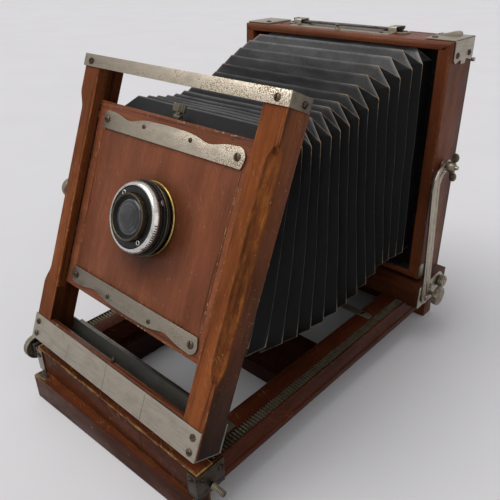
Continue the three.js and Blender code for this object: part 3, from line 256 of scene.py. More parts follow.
class Form:
    """A piece under construction. Grain runs along the first axis of the grain layer, in millimetres."""

    def __init__(self):
        self.points, self.faces, self.slots = [], [], []
        self.grain, self.place, self.half, self.worn, self.tone = [], [], [], [], []
        self.boards = 0

    def add(self, form, slot=0, grain="x", worn=None, tone=1.0):
        points, faces = form
        first = len(self.points)
        spots = np.array(points, float)
        low, high = spots.min(0), spots.max(0)
        order = {"x": (0, 1, 2), "y": (1, 2, 0), "z": (2, 0, 1)}[grain]
        shift = np.array((self.boards * 311.7, self.boards * 73.3, self.boards * 41.9))
        self.boards += 1
        self.points += [tuple(p) for p in points]
        self.faces += [tuple(i + first for i in f) for f in faces]
        self.slots += [slot] * len(faces)
        self.grain += (spots[:, order] + shift).tolist()
        self.place += (spots - (low + high) / 2).tolist()
        self.half += [((high - low) / 2).tolist()] * len(points)
        self.worn += list(worn) if worn is not None else [0.0] * len(points)
        self.tone += [tone(p) for p in points] if callable(tone) else [tone] * len(points)
        return self

    def wood(self, form, grain="x", width=1.0, slot=0, tone=1.0):
        """Adds a board whose arrises are rounded by width times the add-on's size for them."""
        return self.add(softened(*form, width * size("arris")), slot, grain, tone=tone)

    def metal(self, form, grain="x", width=1.0, slot=0, segments=2, tone=1.0, worn=None):
        made = softened(*form, width * size("plate_edge"), segments)
        return self.add(made, slot, grain, [worn(p) for p in made[0]] if worn else None, tone)

    def mitred(self, profile, half_x, half_z, slot=0):
        """Adds four mitred sides round the middle of the rear frame. The profile is (inset, y)."""
        corners = ((-1, -1), (1, -1), (1, 1), (-1, 1))
        for side, ends in enumerate(zip(corners, corners[1:] + corners[:1])):
            rings = [[(sx * (half_x - inset), y, FRAME_MIDDLE + sz * (half_z - inset)) for inset, y in profile]
                     for sx, sz in ends]
            self.add(loft(rings), slot, "xzxz"[side])
        return self

    def screws(self, *heads, tone=1.0):
        """Adds slotted screws in the second finish, each (direction, place, share of the full size, twist)."""
        for head in heads:
            for part in screw(*head):
                self.add(part, 1, tone=tone)
        return self

    def object(self, name, finishes, placed=UPRIGHT, angle=32, **layers):
        """The form as an object. finishes names the finish of each slot, with blanks between the names."""
        mesh = bpy.data.meshes.new(name)
        mesh.from_pydata([Vector(p) * MM for p in self.points], [], self.faces)
        for layer in ("grain", "place", "half", "worn", "tone"):
            layers.setdefault(layer, getattr(self, layer))
        for layer, values in layers.items():
            kind, key = ("FLOAT_VECTOR", "vector") if hasattr(values[0], "__len__") else ("FLOAT", "value")
            data = mesh.attributes.new(layer, kind, "POINT").data
            data.foreach_set(key, np.array(values, np.float32).ravel())
        for finish_name in finishes.split():
            mesh.materials.append(finish(finish_name))
        mesh.polygons.foreach_set("material_index", self.slots)
        mesh.validate()
        bm = bmesh.new()
        bm.from_mesh(mesh)
        bmesh.ops.recalc_face_normals(bm, faces=bm.faces)
        bm.to_mesh(mesh)
        bm.free()
        mesh.shade_smooth()
        mesh.set_sharp_from_angle(angle=math.radians(angle))
        made = bpy.data.objects.new(name, mesh)
        bpy.context.scene.collection.objects.link(made)
        where = placed.copy()
        where.translation *= MM
        made.matrix_world = where
        return made

    def make(self, name, finishes, node=None, placed=UPRIGHT, angle=32, body=None, slot=None):
        """A piece that stands for the node its name begins with, or for node, and rides on its body.

        slot is not used. A piece without a node names its body."""
        made = self.object(name, finishes, placed, angle)
        node = node or name.rsplit("_", 1)[0]
        if not body:
            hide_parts(node)
            body, = body_of(frame["nodes"][node])
        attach(made, body)
        slot or FINISHES[finishes.split()[0]][1]
        return made


def dress(name, finishes, grain="x", width=1.0, tone=1.0, node=None, placed=UPRIGHT, plate=False):
    """A piece with the form of its CAD node and its edges rounded as those of timber, or of a metal plate."""
    form = Form()
    soften = form.metal if plate else form.wood
    soften(from_cad(node or name.rsplit("_", 1)[0], placed), grain, width, tone=tone)
    return form.make(name, finishes, node, placed)


def screw(direction, at, share=1.0, twist=0.4):
    """A slotted round-head screw: two domed halves on a thin foot. share is its part of the full size."""
    made = []
    radius, height = size("screw_radius") * share, size("screw_height") * min(share * 1.1, 1.0)
    slot = radius * 0.16
    for flip in (0, math.pi):
        rings = []
        for r, h in ((1.0, -0.3), (1.0, 0.35), (0.93, 0.62), (0.74, 0.86), (0.45, 1.0)):
            r = r * radius
            start = math.asin(min(slot / r, 0.9))
            ring = [(x, y, h * height) for x, y in disc(0, 0, r, 12, start, math.pi - 2 * start)]
            rings.append(ring)
        made.append(moved(loft(rings), facing(direction, at, twist + flip)))
    foot = slab("z", disc(0, 0, radius * 0.98, 24), -0.3, height * 0.36)
    made.append(moved(foot, facing(direction, at, twist)))
    return made
# ------------------------------------------------------------ finishes
# How most nodes of a kind are set here. The sum is first * second + third.
USUAL = {"Math": {"operation": "MULTIPLY_ADD"}, "Mix": {"data_type": "RGBA"},
         "VectorMath": {"operation": "SCALE"}, "MapRange": {"interpolation_type": "SMOOTHSTEP"}}
# an Attribute node's outputs for a piece's own layers: where a point lies, and what was worked out for it
VECTOR, NUMBER = 1, 2


def linear(colour):
    """What a shader takes for an sRGB hex colour, or for the name of a colour of the add-on's panel."""
    if not colour.startswith("#"):
        return list(getattr(bpy.context.scene.view_camera_colours, colour)) + [1.0]
    parts = [int(colour[i:i + 2], 16) / 255 for i in (1, 3, 5)]
    return [c / 12.92 if c <= 0.04045 else ((c + 0.055) / 1.055) ** 2.4 for c in parts] + [1.0]


def node(tree, kind, *values, out=0, **settings):
    """Adds a node with its settings, fills or links its sockets in order and returns one of its outputs."""
    made = tree.nodes.new("ShaderNode" + kind)
    for name, value in {**USUAL.get(kind, {}), **settings}.items():
        setattr(made, name, value)
    for socket, value in zip([s for s in made.inputs if s.enabled], values):
        if isinstance(value, bpy.types.NodeSocket):
            tree.links.new(value, socket)
        elif value is not None:
            socket.default_value = value
    return [s for s in made.outputs if s.enabled][out]


def blank(name, **sockets):
    """A new material with these values on its shader's own sockets, and the function that adds a node to it."""
    material = bpy.data.materials.new(name)
    material.use_nodes = True
    for key, value in sockets.items():
        material.node_tree.nodes["Principled BSDF"].inputs[key.replace("_", " ")].default_value = value
    return material, partial(node, material.node_tree)


def covered(material, add, colour, roughness=None, height=None, strength=0.0, distance=0.0):
    """Links the colour, the roughness and a bump of that height to the material's shader."""
    wires = {"Base Color": colour}
    if roughness:
        wires["Roughness"] = roughness
    if height:
        wires["Normal"] = add("Bump", strength, distance, None, height)
    for key, value in wires.items():
        material.node_tree.links.new(value, material.node_tree.nodes["Principled BSDF"].inputs[key])
    return material


def noises(add, where, *features):
    """Noises, each from the size of its features in millimetres along three axes, its detail and roughness."""
    made = []
    for x, y, z, detail, rough in features:
        scaled = add("VectorMath", where, (1 / x, 1 / y, 1 / z), operation="MULTIPLY")
        made.append(add("TexNoise", scaled, 1.0, detail, rough))
    return made


def coats(add, colour, *layers):
    """Lays colours over a colour, each where a value goes from low to high, up to its share."""
    for value, low, high, share, over in layers:
        colour = add("Mix", add("MapRange", value, low, high, 0, share), colour, linear(over))
    return colour


def edge_distance(add):
    """Millimetres to the nearest edge of the board that the point belongs to."""
    place, half = [add("Attribute", out=VECTOR, attribute_name=layer) for layer in ("place", "half")]
    left = add("VectorMath", half, add("VectorMath", place, operation="ABSOLUTE"), operation="SUBTRACT")
    a, b, c = [add("SeparateXYZ", left, out=i) for i in range(3)]
    high = add("Math", add("Math", a, b, operation="MAXIMUM"), c, operation="MINIMUM")
    return add("Math", add("Math", a, b, operation="MINIMUM"), high, operation="MAXIMUM")


def wood(name, main, deep, bare, figure=1.0, edge=1.0, marks=0.5, roughness=0.36, shine=0.15, lens_shadow=None):
    """Mahogany: long interlocked grain with open pores. The finish is shellac, rubbed away along the edges.

    The last argument gives the middle and the two radii of a ring of painted shadow that the lens casts round
    its flange."""
    material, add = blank(name, IOR=1.5, Specular_IOR_Level=shine)
    grain = add("Attribute", out=VECTOR, attribute_name="grain")
    tone, worn = [add("Attribute", out=NUMBER, attribute_name=layer) for layer in ("tone", "worn")]
    band, streak, mottle, stain, patch, pore, ragged, dent, scratch, region = noises(
        add, grain, (210, 15, 15, 3, 0.5), (80, 2.4, 2.4, 5, 0.65), (34, 19, 19, 4, 0.6), (19, 8, 8, 3, 0.6),
        (90, 26, 26, 4, 0.6),
        # the pores are 0.2 mm wide in the real wood and are drawn 0.7 mm wide, so that they show
        (8.5, 0.7, 0.7, 1, 0.4),
        (15, 3.4, 3.4, 4, 0.68), (9, 5, 5, 2, 0.5), (3.1, 0.9, 2.1, 2, 0.6), (30, 22, 22, 3, 0.5))
    shade = add("MapRange", add("Math", streak, 0.7, band), 0.5, 1.2)
    colour = add("Mix", shade, linear(deep), linear(main))
    # figure, dark spots of old oil and ink, and pores
    colour = coats(add, colour, (mottle, 0.42, 0.72, 0.45 * figure, deep),
                   (stain, 0.66, 0.74, 0.55 * marks, "#32190f"), (pore, 0.58, 0.70, 0.55 * figure, deep))
    # painted shadow: the ring that the lens casts on its board, darkened towards #3d1e10
    if lens_shadow:
        middle, inner, outer = lens_shadow
        place = add("Attribute", out=VECTOR, attribute_name="place")
        off = add("VectorMath", place, middle, operation="DISTANCE")
        colour = coats(add, colour, (add("Math", mottle, 14, off), outer, inner, 0.62, "#3d1e10"))
    # grime that gathers in streaks along the edges
    rim_distance = edge_distance(add)
    streaks = add("MapRange", streak, 0.46, 0.64, 0, 0.8 * marks)
    grime = add("Math", add("MapRange", rim_distance, 9, 1), streaks, 0)
    colour = add("Mix", grime, colour, linear("#2c160d"))
    # shellac rubbed off: golden bare wood along the edges and on the places that hands reach
    reach = add("Math", ragged, 4.6, add("Math", mottle, 3.6, rim_distance))
    wide = 2.5 * max(edge - 1, 0)
    rim = add("MapRange", reach, 5 + wide, 2.7 + wide, 0, 0.85 * edge)
    rubbed = add("Math", rim, add("MapRange", add("Math", ragged, 1, worn), 0.85, 1.2), operation="MAXIMUM")
    colour = add("Mix", rubbed, colour, linear(bare))
    # small dents and scratches with pale dust in them
    dust = add("Math", add("MapRange", scratch, 0.69, 0.72), add("MapRange", dent, 0.52, 0.6, 0, marks), 0)
    colour = add("Mix", dust, colour, linear("#b08a6c"))
    # slanting scratches through the shellac, drawn 0.5 mm wide
    slanted = add("VectorRotate", grain, (0, 0, 0), (0.0, 0.7, 0.7), 0.85)
    line, = noises(add, slanted, (13, 0.55, 7, 2, 0.5))
    scored = add("MapRange", region, 0.5, 0.62, 0, 0.6 * marks)
    score = add("Math", add("MapRange", line, 0.63, 0.68), scored, 0)
    colour = add("Mix", score, colour, linear("#ab7a50"))
    # chips along the edges
    close = add("MapRange", rim_distance, 1.7, 0.6, 0, 0.9 * marks)
    chip = add("Math", add("MapRange", scratch, 0.6, 0.63), close, 0)
    chip = add("Math", chip, add("MapRange", patch, 0.45, 0.58), 0)
    colour = add("Mix", chip, colour, linear("#c4a67e"))
    uneven = add("MapRange", patch, 0.3, 0.7, 1 + 0.16 * figure, 1 - 0.3 * figure)
    colour = add("VectorMath", colour, add("Math", tone, uneven, 0))
    gloss = add("Math", rubbed, 0.22, add("MapRange", mottle, 0.3, 0.7, roughness - 0.06, roughness + 0.12))
    relief = add("Math", add("MapRange", pore, 0.58, 0.72, 1, 0), 1, add("MapRange", dust, 0, 0.5, 0, -0.8))
    relief = add("Math", add("Math", relief, 1, mottle), 1, add("MapRange", rubbed, 0, 0.6, 0, -1.2))
    return covered(material, add, colour, gloss, relief, 0.4, 0.00028)


def metal(name, main, deep, roughness=0.36, brushed=0.4, pitted=0.0, pit_colour="#6f5a38", metallic=1.0,
          line=(26, 0.5, 0.5), bright=None, cloudy=0.55):
    """Plated or bare metal: brushed along its length, dulled in cloudy patches and pitted to the brass."""
    material, add = blank(name, Metallic=metallic)
    grain = add("Attribute", out=VECTOR, attribute_name="grain")
    worn, tone = [add("Attribute", out=NUMBER, attribute_name=layer) for layer in ("worn", "tone")]
    # polishing lines and pits are finer than this in the real plate; drawn 0.5 and 0.8 mm wide, they show
    lines, cloud, speck = noises(add, grain, (*line, 3, 0.6), (14, 9, 9, 4, 0.6), (0.9, 0.8, 0.8, 3, 0.65))
    dull = add("Math", add("MapRange", lines, 0.3, 0.7), brushed, add("MapRange", cloud, 0.42, 0.68, 0, cloudy))
    colour = add("Mix", add("MapRange", dull, 0, 1), linear(main), linear(deep))
    # bright specks where the plate is worn: bare metal rubbed bright, and painted glints
    if bright:
        rub_and_glint = add("MapRange", add("Math", speck, 0.5, cloud), 0.6, 0.8, 0.55, 1)
        colour = add("Mix", add("Math", worn, rub_and_glint, 0), colour, linear(bright))
    even = pitted * 0.14
    share = add("Math", worn, 0.14, add("MapRange", cloud, 0.3, 0.7, even - 0.06, even + 0.06))
    pits = add("MapRange", add("Math", speck, 1, share), 0.66, 0.75)
    colour = add("Mix", add("Math", pits, 0.8, 0), colour, linear(pit_colour))
    rough = add("Math", pits, 0.3, add("MapRange", dull, 0, 1, roughness, roughness + 0.2))
    height = add("Math", add("MapRange", lines, 0.2, 0.8), 1, add("MapRange", pits, 0, 1, 0, -2.5))
    return covered(material, add, add("VectorMath", colour, tone), rough, height, 0.3, 0.00012)


def enamel(name, main, chip="#6b6353", roughness=0.32):
    """Black japanning on brass: thin stoved varnish, dusty in the corners, with small chips."""
    material, add = blank(name, IOR=1.5, Specular_IOR_Level=0.22, Coat_Weight=0.1, Coat_Roughness=0.2)
    grain = add("Attribute", out=VECTOR, attribute_name="grain")
    cloud, speck = noises(add, grain, (7, 7, 7, 4, 0.6), (1.1, 1.1, 1.1, 2, 0.6))
    dusty = add("Mix", add("MapRange", cloud, 0.4, 0.75, 0, 0.35), linear(main), linear("#3c3a36"))
    colour = coats(add, dusty, (speck, 0.74, 0.78, 1, chip))
    rough = add("MapRange", cloud, 0.3, 0.7, roughness, roughness + 0.18)
    return covered(material, add, colour, rough, speck, 0.12, 0.0001)


def leather(name, main, rubbed, tan, dusty):
    """Leathercloth: black grained cloth, pressed into pleats. Folds are rubbed grey, and tan at the corners."""
    material, add = blank(name, IOR=1.5, Specular_IOR_Level=0.16)
    grain = add("Attribute", out=VECTOR, attribute_name="grain")
    crease, tip = [add("Attribute", out=NUMBER, attribute_name=layer) for layer in ("crease", "tip")]
    # the pressed grain is 0.4 mm in the real cloth and is drawn 0.9 mm wide, so that it shows
    pebble = add("TexVoronoi", add("VectorMath", grain, 1 / 0.9), 1.0, feature="SMOOTH_F1")
    cloud, fine = noises(add, grain, (30, 30, 30, 4, 0.6), (3, 3, 3, 3, 0.7))
    colour = add("Mix", add("MapRange", cloud, 0.35, 0.75), linear(main), linear("#131313"))
    # dust lies on what faces up, most of all towards the back and along the ridges; the paler top also stands
    # in for the light that falls on it, a painted light, and the paler ridges for painted highlights
    up = add("SeparateXYZ", add("NewGeometry", out=1), out=2)
    back = add("SeparateXYZ", grain, out=1)
    ridge = add("MapRange", crease, 2.6, 0.3, 0, 0.75)
    lies = add("Math", add("MapRange", back, -170, -10, 0.03, 0.6), 1, ridge)
    lies = add("Math", lies, add("MapRange", up, 0.1, 0.8), 0)
    lies = add("Math", lies, add("MapRange", cloud, 0.3, 0.66, 0.6, 1), 0)
    lies = add("Math", lies, add("MapRange", fine, 0.3, 0.6, 0.75, 1), 0)
    colour = add("Mix", lies, colour, linear(dusty))
    # the fold is 0.3 mm wide where its black has rubbed away
    rub = add("MapRange", add("Math", fine, 0.9, crease), 1.15, 0.45, 0, 0.85)
    rub = add("Math", rub, add("MapRange", tip, 26, 6, 0.4, 1), 0)
    rub = add("Math", rub, add("MapRange", cloud, 0.35, 0.6, 0.6, 1), 0)
    warm = add("Mix", add("MapRange", tip, 16, 3), linear(rubbed), linear("#a08c74"))
    colour = coats(add, add("Mix", rub, colour, warm), (add("Math", fine, 2.6, tip), 2.9, 1.5, 0.85, tan))
    return covered(material, add, colour, add("MapRange", cloud, 0.3, 0.7, 0.5, 0.64), pebble, 0.25, 0.0002)


def lens_glass(name):
    """Coated glass over a black barrel: nearly black, with painted reflections of the rims of the inner lenses
    and a trace of dust.
    """
    material, add = blank(name, IOR=1.52, Specular_IOR_Level=0.4, Coat_Weight=0.3, Coat_Roughness=0.03)
    grain = add("Attribute", out=VECTOR, attribute_name="grain")
    radius = add("Attribute", out=NUMBER, attribute_name="worn")
    dust, haze = noises(add, grain, (1.2, 1.2, 1.2, 3, 0.7), (9, 9, 9, 2, 0.5))
    colour = add("Mix", add("MapRange", haze, 0.3, 0.75), linear("#121415"), linear("#303335"))
    # painted reflections: the inner cells show as thin grey rims, 0.5 mm wide
    for middle, shade in ((12.5, "#63666a"), (9.6, "#4c4f52"), (6.6, "#3b3e41")):
        rim = [add("MapRange", radius, middle + side, middle) for side in (-0.5, 0.5)]
        rim = add("Math", add("Math", *rim, 0), add("MapRange", haze, 0.35, 0.6, 0.3, 1), 0)
        colour = add("Mix", rim, colour, linear(shade))
    colour = coats(add, colour, (dust, 0.68, 0.74, 0.4, "#9a9a96"))
    return covered(material, add, colour, add("MapRange", dust, 0.4, 0.8, 0.04, 0.16))


def ground_glass(name):
    """Plate glass with one face ground: cloudy white, letting some light through."""
    material, add = blank(name, IOR=1.5, Transmission_Weight=0.35)
    grain = add("Attribute", out=VECTOR, attribute_name="grain")
    grit, haze = noises(add, grain, (0.8, 0.8, 0.8, 2, 0.6), (30, 30, 30, 3, 0.5))
    colour = add("Mix", add("MapRange", haze, 0.3, 0.7), linear("#b9beb9"), linear("#a5aaa4"))
    return covered(material, add, colour, add("MapRange", haze, 0.3, 0.7, 0.48, 0.6), grit, 0.15, 0.0001)


BOARD = dict(main="board_timber", deep="#72402a", bare="#9a6233", figure=0.8, edge=0.4, marks=1.0, shine=0.14)
# each finish: what it is, its slot in the record, and its settings
FINISHES = {
    # frame timber: reddish brown shellac on quarter-sawn mahogany
    "mahogany": (wood, "mahogany", dict(main="frame_timber", deep="#5d301a", bare="#8a5428", shine=0.11)),
    # the front members, handled most: browner, and rubbed golden on every arris
    "rubbed_mahogany": (wood, "mahogany", dict(
        main="front_timber", deep="#643418", bare="#a0622c", edge=1.1, marks=1.0, shine=0.07)),
    # the front ends of both beds: nearly black as painted shade on their faces, and golden on their arrises
    "worn_mahogany": (wood, "mahogany_edge", dict(
        main="#623119", deep="#3b1b0d", bare="#8f6f3f", edge=1.4, marks=1.0, shine=0.05)),
    # the bed, darkened as painted shade, and rubbed to golden wood where things slide over it
    "bed_mahogany": (wood, "mahogany", dict(
        main="#6b331d", deep="#43200f", bare="#94622f", edge=0.9, marks=0.9, shine=0.05)),
    # lens board and rising panel: one wide board, plain figure and a redder stain
    "board_mahogany": (wood, "mahogany", BOARD),
    # the lens board itself carries a painted shadow of the lens, below and round its flange
    "lens_board_mahogany": (wood, "lens_board_mahogany", dict(BOARD, lens_shadow=((7, 0, -5), 34, 58))),
    # lower bed rails and the tripod block: the same timber, darkened as painted shade
    "dark_mahogany": (wood, "dark_wood", dict(main="#45221a", deep="#28120d", bare="#6d4526", edge=0.8)),
    # stained beech under the bellows
    "black_wood": (wood, "black_wood", dict(
        main="#17110f", deep="#0c0908", bare="#3a2c22", edge=0.3, roughness=0.5)),
    # nickel plate, rolled and brushed: warm grey, dull, pitted where damp has reached the brass
    "nickel": (metal, "nickel_plate", dict(
        main="nickel_plate", deep="#857d70", brushed=0.5, pitted=0.12, bright="#c9bfae", cloudy=0.2)),
    # the same plate where sleeves and cloths keep it rubbed bright
    "bright_nickel": (metal, "nickel_plate", dict(
        main="#aba292", deep="#7d7567", roughness=0.26, brushed=0.35, pitted=0.1, cloudy=0.4)),
    # nickel plate blistered to the brass: bright, with gold-brown pits close together and painted glints where
    # it is worn
    "pitted_nickel": (metal, "nickel_plate", dict(
        main="#968d7d", deep="#766e61", roughness=0.3, pitted=0.35, pit_colour="#7d6540", bright="#e2d8c6",
        cloudy=0.4)),
    # thick nickel on turned brass knobs and nuts
    "turned_nickel": (metal, "nickel_plate", dict(
        main="#8d8574", deep="#625b4c", roughness=0.3, brushed=0.3, pitted=0.25, line=(3, 3, 0.6))),
    # galvanised sheet behind the foot: even pale grey
    "pale_steel": (metal, "steel", dict(
        main="#a5a298", deep="#87847a", roughness=0.5, brushed=0.3, pitted=0.1, pit_colour="#6a5f4c",
        cloudy=0.3)),
    # bare rolled steel, gone grey-brown
    "steel": (metal, "steel", dict(
        main="#77736b", deep="#4d483f", roughness=0.42, pitted=0.4, pit_colour="#4a3320")),
    # screw heads and the right corner plate: blued steel gone brown
    "screw_steel": (metal, "nickel_plate", dict(
        main="#5f5345", deep="#30261d", roughness=0.38, brushed=0.3, pitted=0.6, pit_colour="#3b2718")),
    # milled brass rack, nickel gone, with grease in the teeth
    "rack_metal": (metal, "rack_metal", dict(
        main="#777160", deep="#514a3b", roughness=0.5, pitted=0.4, pit_colour="#33291d")),
    # lacquered brass: yellow, lacquer browned in patches
    "brass": (metal, "lacquered_brass", dict(
        main="#a58c50", deep="#65522c", roughness=0.27, brushed=0.3, pitted=0.3, pit_colour="#4a3a20",
        line=(3, 3, 0.5))),
    # chemically bronzed brass: brown black, rubbed to brass on the rims
    "bronzed_brass": (metal, "bronzed_brass", dict(
        main="#5b5040", deep="#322a21", roughness=0.32, brushed=0.3, pitted=0.35, pit_colour="#8a7850",
        metallic=0.9, line=(3, 3, 0.5))),
    # silver plate on the lens ring: bright, hardly pitted
    "silver": (metal, "silver_plate", dict(
        main="#d8d6d2", deep="#a09d97", roughness=0.22, brushed=0.35, pitted=0.1, pit_colour="#5a564e",
        line=(3, 3, 0.4))),
    "black_enamel": (enamel, "black_enamel", dict(main="enamel")),
    # what is cut into the rings, filled with dull black
    "engraving": (enamel, "black_enamel", dict(main="#0d0d0e", roughness=0.6)),
    "lens_glass": (lens_glass, "lens_glass", {}),
    "ground_glass": (ground_glass, "ground_glass", {}),
    "bellows_leather": (leather, "bellows_cloth", dict(
        main="leathercloth", rubbed="#77736f", tan="#a07d5e", dusty="#7b7a7b")),
}
MADE = {}


def finish(name):
    """The material of that finish, made the first time it is asked for."""
    if name not in MADE:
        maker, _, settings = FINISHES[name]
        MADE[name] = maker(f"{name}_finish", **settings)
    return MADE[name]


OPERATORS = []
DONE = {"FINISHED"}


def register_operator(cls):
    OPERATORS.append(cls)
    return cls


# ------------------------------------------------------------ bed
@register_operator
class CAMERA_OT_lower_bed(bpy.types.Operator):
    """Lower bed frame: two side rails, a front and a rear board, and the block for a tripod screw"""
    bl_idname = "view_camera.lower_bed"
    bl_label = "Lower Bed"

    def execute(self, context):
        for side, _ in SIDES:
            dress(f"lower_rail_{side}_timber", "dark_mahogany", "y", tone=0.85)
        # the lower front board: its top ledge lighter and its front face darker, painted light and shade
        dress("lower_front_timber", "worn_mahogany", "x", 1.25, lambda p: 1.1 if p[2] > -24.9 else 0.8,
              "lower_front_board")
        dress("lower_rear_timber", "mahogany", "x", 1.25, 0.7, "lower_rear_board")
        dress("tripod_timber", "dark_mahogany", node="tripod_block")
        return DONE


@register_operator
class CAMERA_OT_upper_bed(bpy.types.Operator):
    """Upper bed frame: grooved side rails with a wear strip, and the front and rear cross rails"""
    bl_idname = "view_camera.upper_bed"
    bl_label = "Upper Bed"

    def execute(self, context):
        for side, _ in SIDES:
            dress(f"bed_rail_{side}_timber", "bed_mahogany", "y", 0.62, 0.62)
        rail = softened(*from_cad("bed_front_rail"), 1.12 * size("arris"))
        rubbed = [0.3 if p[2] > -1.2 else 0.0 for p in rail[0]]
        # the top of the rail lighter and its front face darker: painted light and shade
        rail = Form().add(rail, worn=rubbed, tone=lambda p: 1.2 if p[2] > -0.9 else 0.9)
        # the butt joint in its facing
        rail.metal(block(43.8, 44.3, -292.65, -292.3, -23.6, -1), "z", 0.2, 1)
        rail.make("bed_front_timber", "worn_mahogany black_wood", "bed_front_rail")
        dress("bed_rear_timber", "mahogany", "x", 1.12, 0.5, "bed_rear_rail")
        return DONE


@register_operator
class CAMERA_OT_bed_fittings(bpy.types.Operator):
    """Racks, corner plates, threaded stud and cross strap of the upper bed"""
    bl_idname = "view_camera.bed_fittings"
    bl_label = "Bed Fittings"

    def execute(self, context):
        for side, sign in SIDES:
            rack = Form().metal(from_cad(f"rack_{side}"), "y", 0.64, segments=1)
            rack.make(f"rack_{side}_brass", "rack_metal")
            self.corner_plate(side, sign)
        thread = [(0, 0), (2.3, 0)]
        for turn in range(8):
            thread += [(1.75, turn * 1.5 + 0.15), (2.5, turn * 1.5 + 0.75), (2.5, turn * 1.5 + 0.95)]
        y, z = -279.8, -18.9
        stud = turned("x", thread + [(1.8, 12), (0, 12)], (108.7, y, z), 24)
        Form().add(stud, tone=lambda p: 0.4 if math.hypot(p[1] - y, p[2] - z) < 2 else 1.0).make(
            "clamp_stud_nickel", "turned_nickel", angle=50)
        strap = Form().metal(slab("z", rounded(oblong(-96, 96, -58.5, -50.5), 2.5), 0.35, 1.35))
        strap.screws(*[((0, 0, 1), (x, -54.5, 1.35), 0.93, 0.7 + x) for x in (-88, 88)])
        strap.make("bed_strap_nickel", "nickel screw_steel")
        return DONE

    def corner_plate(self, side, sign):
        front, outer = -293.8, 108.3
        plate = [(98, front), (outer, front), (outer, -267), (outer - 1, -267), (outer - 1, front + 1),
                 (98, front + 1)]
        plate = rounded([(x * sign, y) for x, y in plate], (0.3, 1.2, 0.3, 0.3, 0.4, 0.3))
        heads = [((0, -1, 0), (101.8 * sign, front, -6)),
                 ((sign, 0, 0), (outer * sign, -270.7, -8.6 if sign > 0 else -15))]
        if sign > 0:
            heads.append(((sign, 0, 0), (outer, -288.5, -7.2)))
        form = Form().metal(slab("z", plate, -24.3, -0.6), "y", 1.2)
        form.screws(*[(way, at, 0.93, 0.5 + i * 0.9) for i, (way, at) in enumerate(heads)])
        form.tone = [0.75 if sign < 0 else 0.5] * len(form.tone)
        form.make(f"corner_plate_{side}_nickel", ("nickel" if sign < 0 else "screw_steel") + " screw_steel")


@register_operator
class CAMERA_OT_ledge_catch(bpy.types.Operator):
    """Ribbed nickel catch let in flush on the left end of the lower front board; the bed slides over it"""
    bl_idname = "view_camera.ledge_catch"
    bl_label = "Ledge Catch"

    def execute(self, context):
        top = -24.64
        outline = rounded([(-103.6, -301.4), (-89, -300.4), (-89, -294), (-103.6, -294)], 1.2)
        form = Form().metal(slab("z", outline, top - 0.5, top), "x", 0.4)
        for x in (-90.2 - i * 1.05 for i in range(9)):
            form.metal(block(x - 0.24, x + 0.24, -299.6, -294.9, top - 0.2, top + 0.05), "y", 0.1, 1)
        form.metal(slab("z", disc(-101.3, -297.6, 1.5, 20), top - 0.2, top + 0.08), "x", 0.1, 1)
        form.make("ledge_catch_nickel", "turned_nickel screw_steel", body="base")
        return DONE


# ------------------------------------------------------------ front carriage
@register_operator
class CAMERA_OT_carriage(bpy.types.Operator):
    """Steel carriage plate that slides along the bed, with its side clamp knob"""
    bl_idname = "view_camera.carriage"
    bl_label = "Front Carriage"

    def execute(self, context):
        dress("carriage_steel", "steel", "x", 0.8, node="carriage_plate", plate=True)
        profile = [(0, 108.7), (2.5, 108.7), (2.5, 113.6), (9.7, 113.6), (9.7, 111.9), (11.1, 111.5),
                   (11.5, 112.1), (11.5, 116.8), (10.3, 117.8), (4.2, 117.8), (3.4, 116.8), (0, 116.8)]
        profile = eased([(r, -x) for r, x in profile], 0.35)
        knob = turned("x", profile, (0, -289.5, -4.5), 96, 48, size("knurl_depth"),
                      lambda r, h: r > 11.2 and -116.9 < h < -112)
        Form().add(knob).make("clamp_knob_nickel", "turned_nickel")
        return DONE


# ------------------------------------------------------------ front standard
def chamfer(height):
    """How far the outer front arris of an upright is cut back at a height."""
    return 0.6 + 5.4 * min(ease((height - 66) / 18), ease((236 - height) / 16))


def upright_ring(sign, height):
    """Section of an upright: grooved inside, with a stopped chamfer on the outer front arris."""
    cut = chamfer(height)
    inner, outer, deep = 87.3, STANDARD_HALF, 24
    outline = [(inner, 0), (inner, 9.7), (inner + 4, 9.7), (inner + 4, 16.3), (inner, 16.3), (inner, deep),
               (outer, deep), (outer, cut + 1.6), (outer, cut), (outer - cut * 0.2, cut * 0.8),
               (outer - cut * 0.8, cut * 0.2), (outer - cut, 0), (outer - 1.6 - cut, 0)]
    soft = min(0.7, cut * 0.6)
    radii = (0.8, 0, 0, 0, 0, 0.8, 0.8, 0, soft, 0, 0, soft, 0)
    return [(x * sign, n, height) for x, n in rounded(outline, radii)]


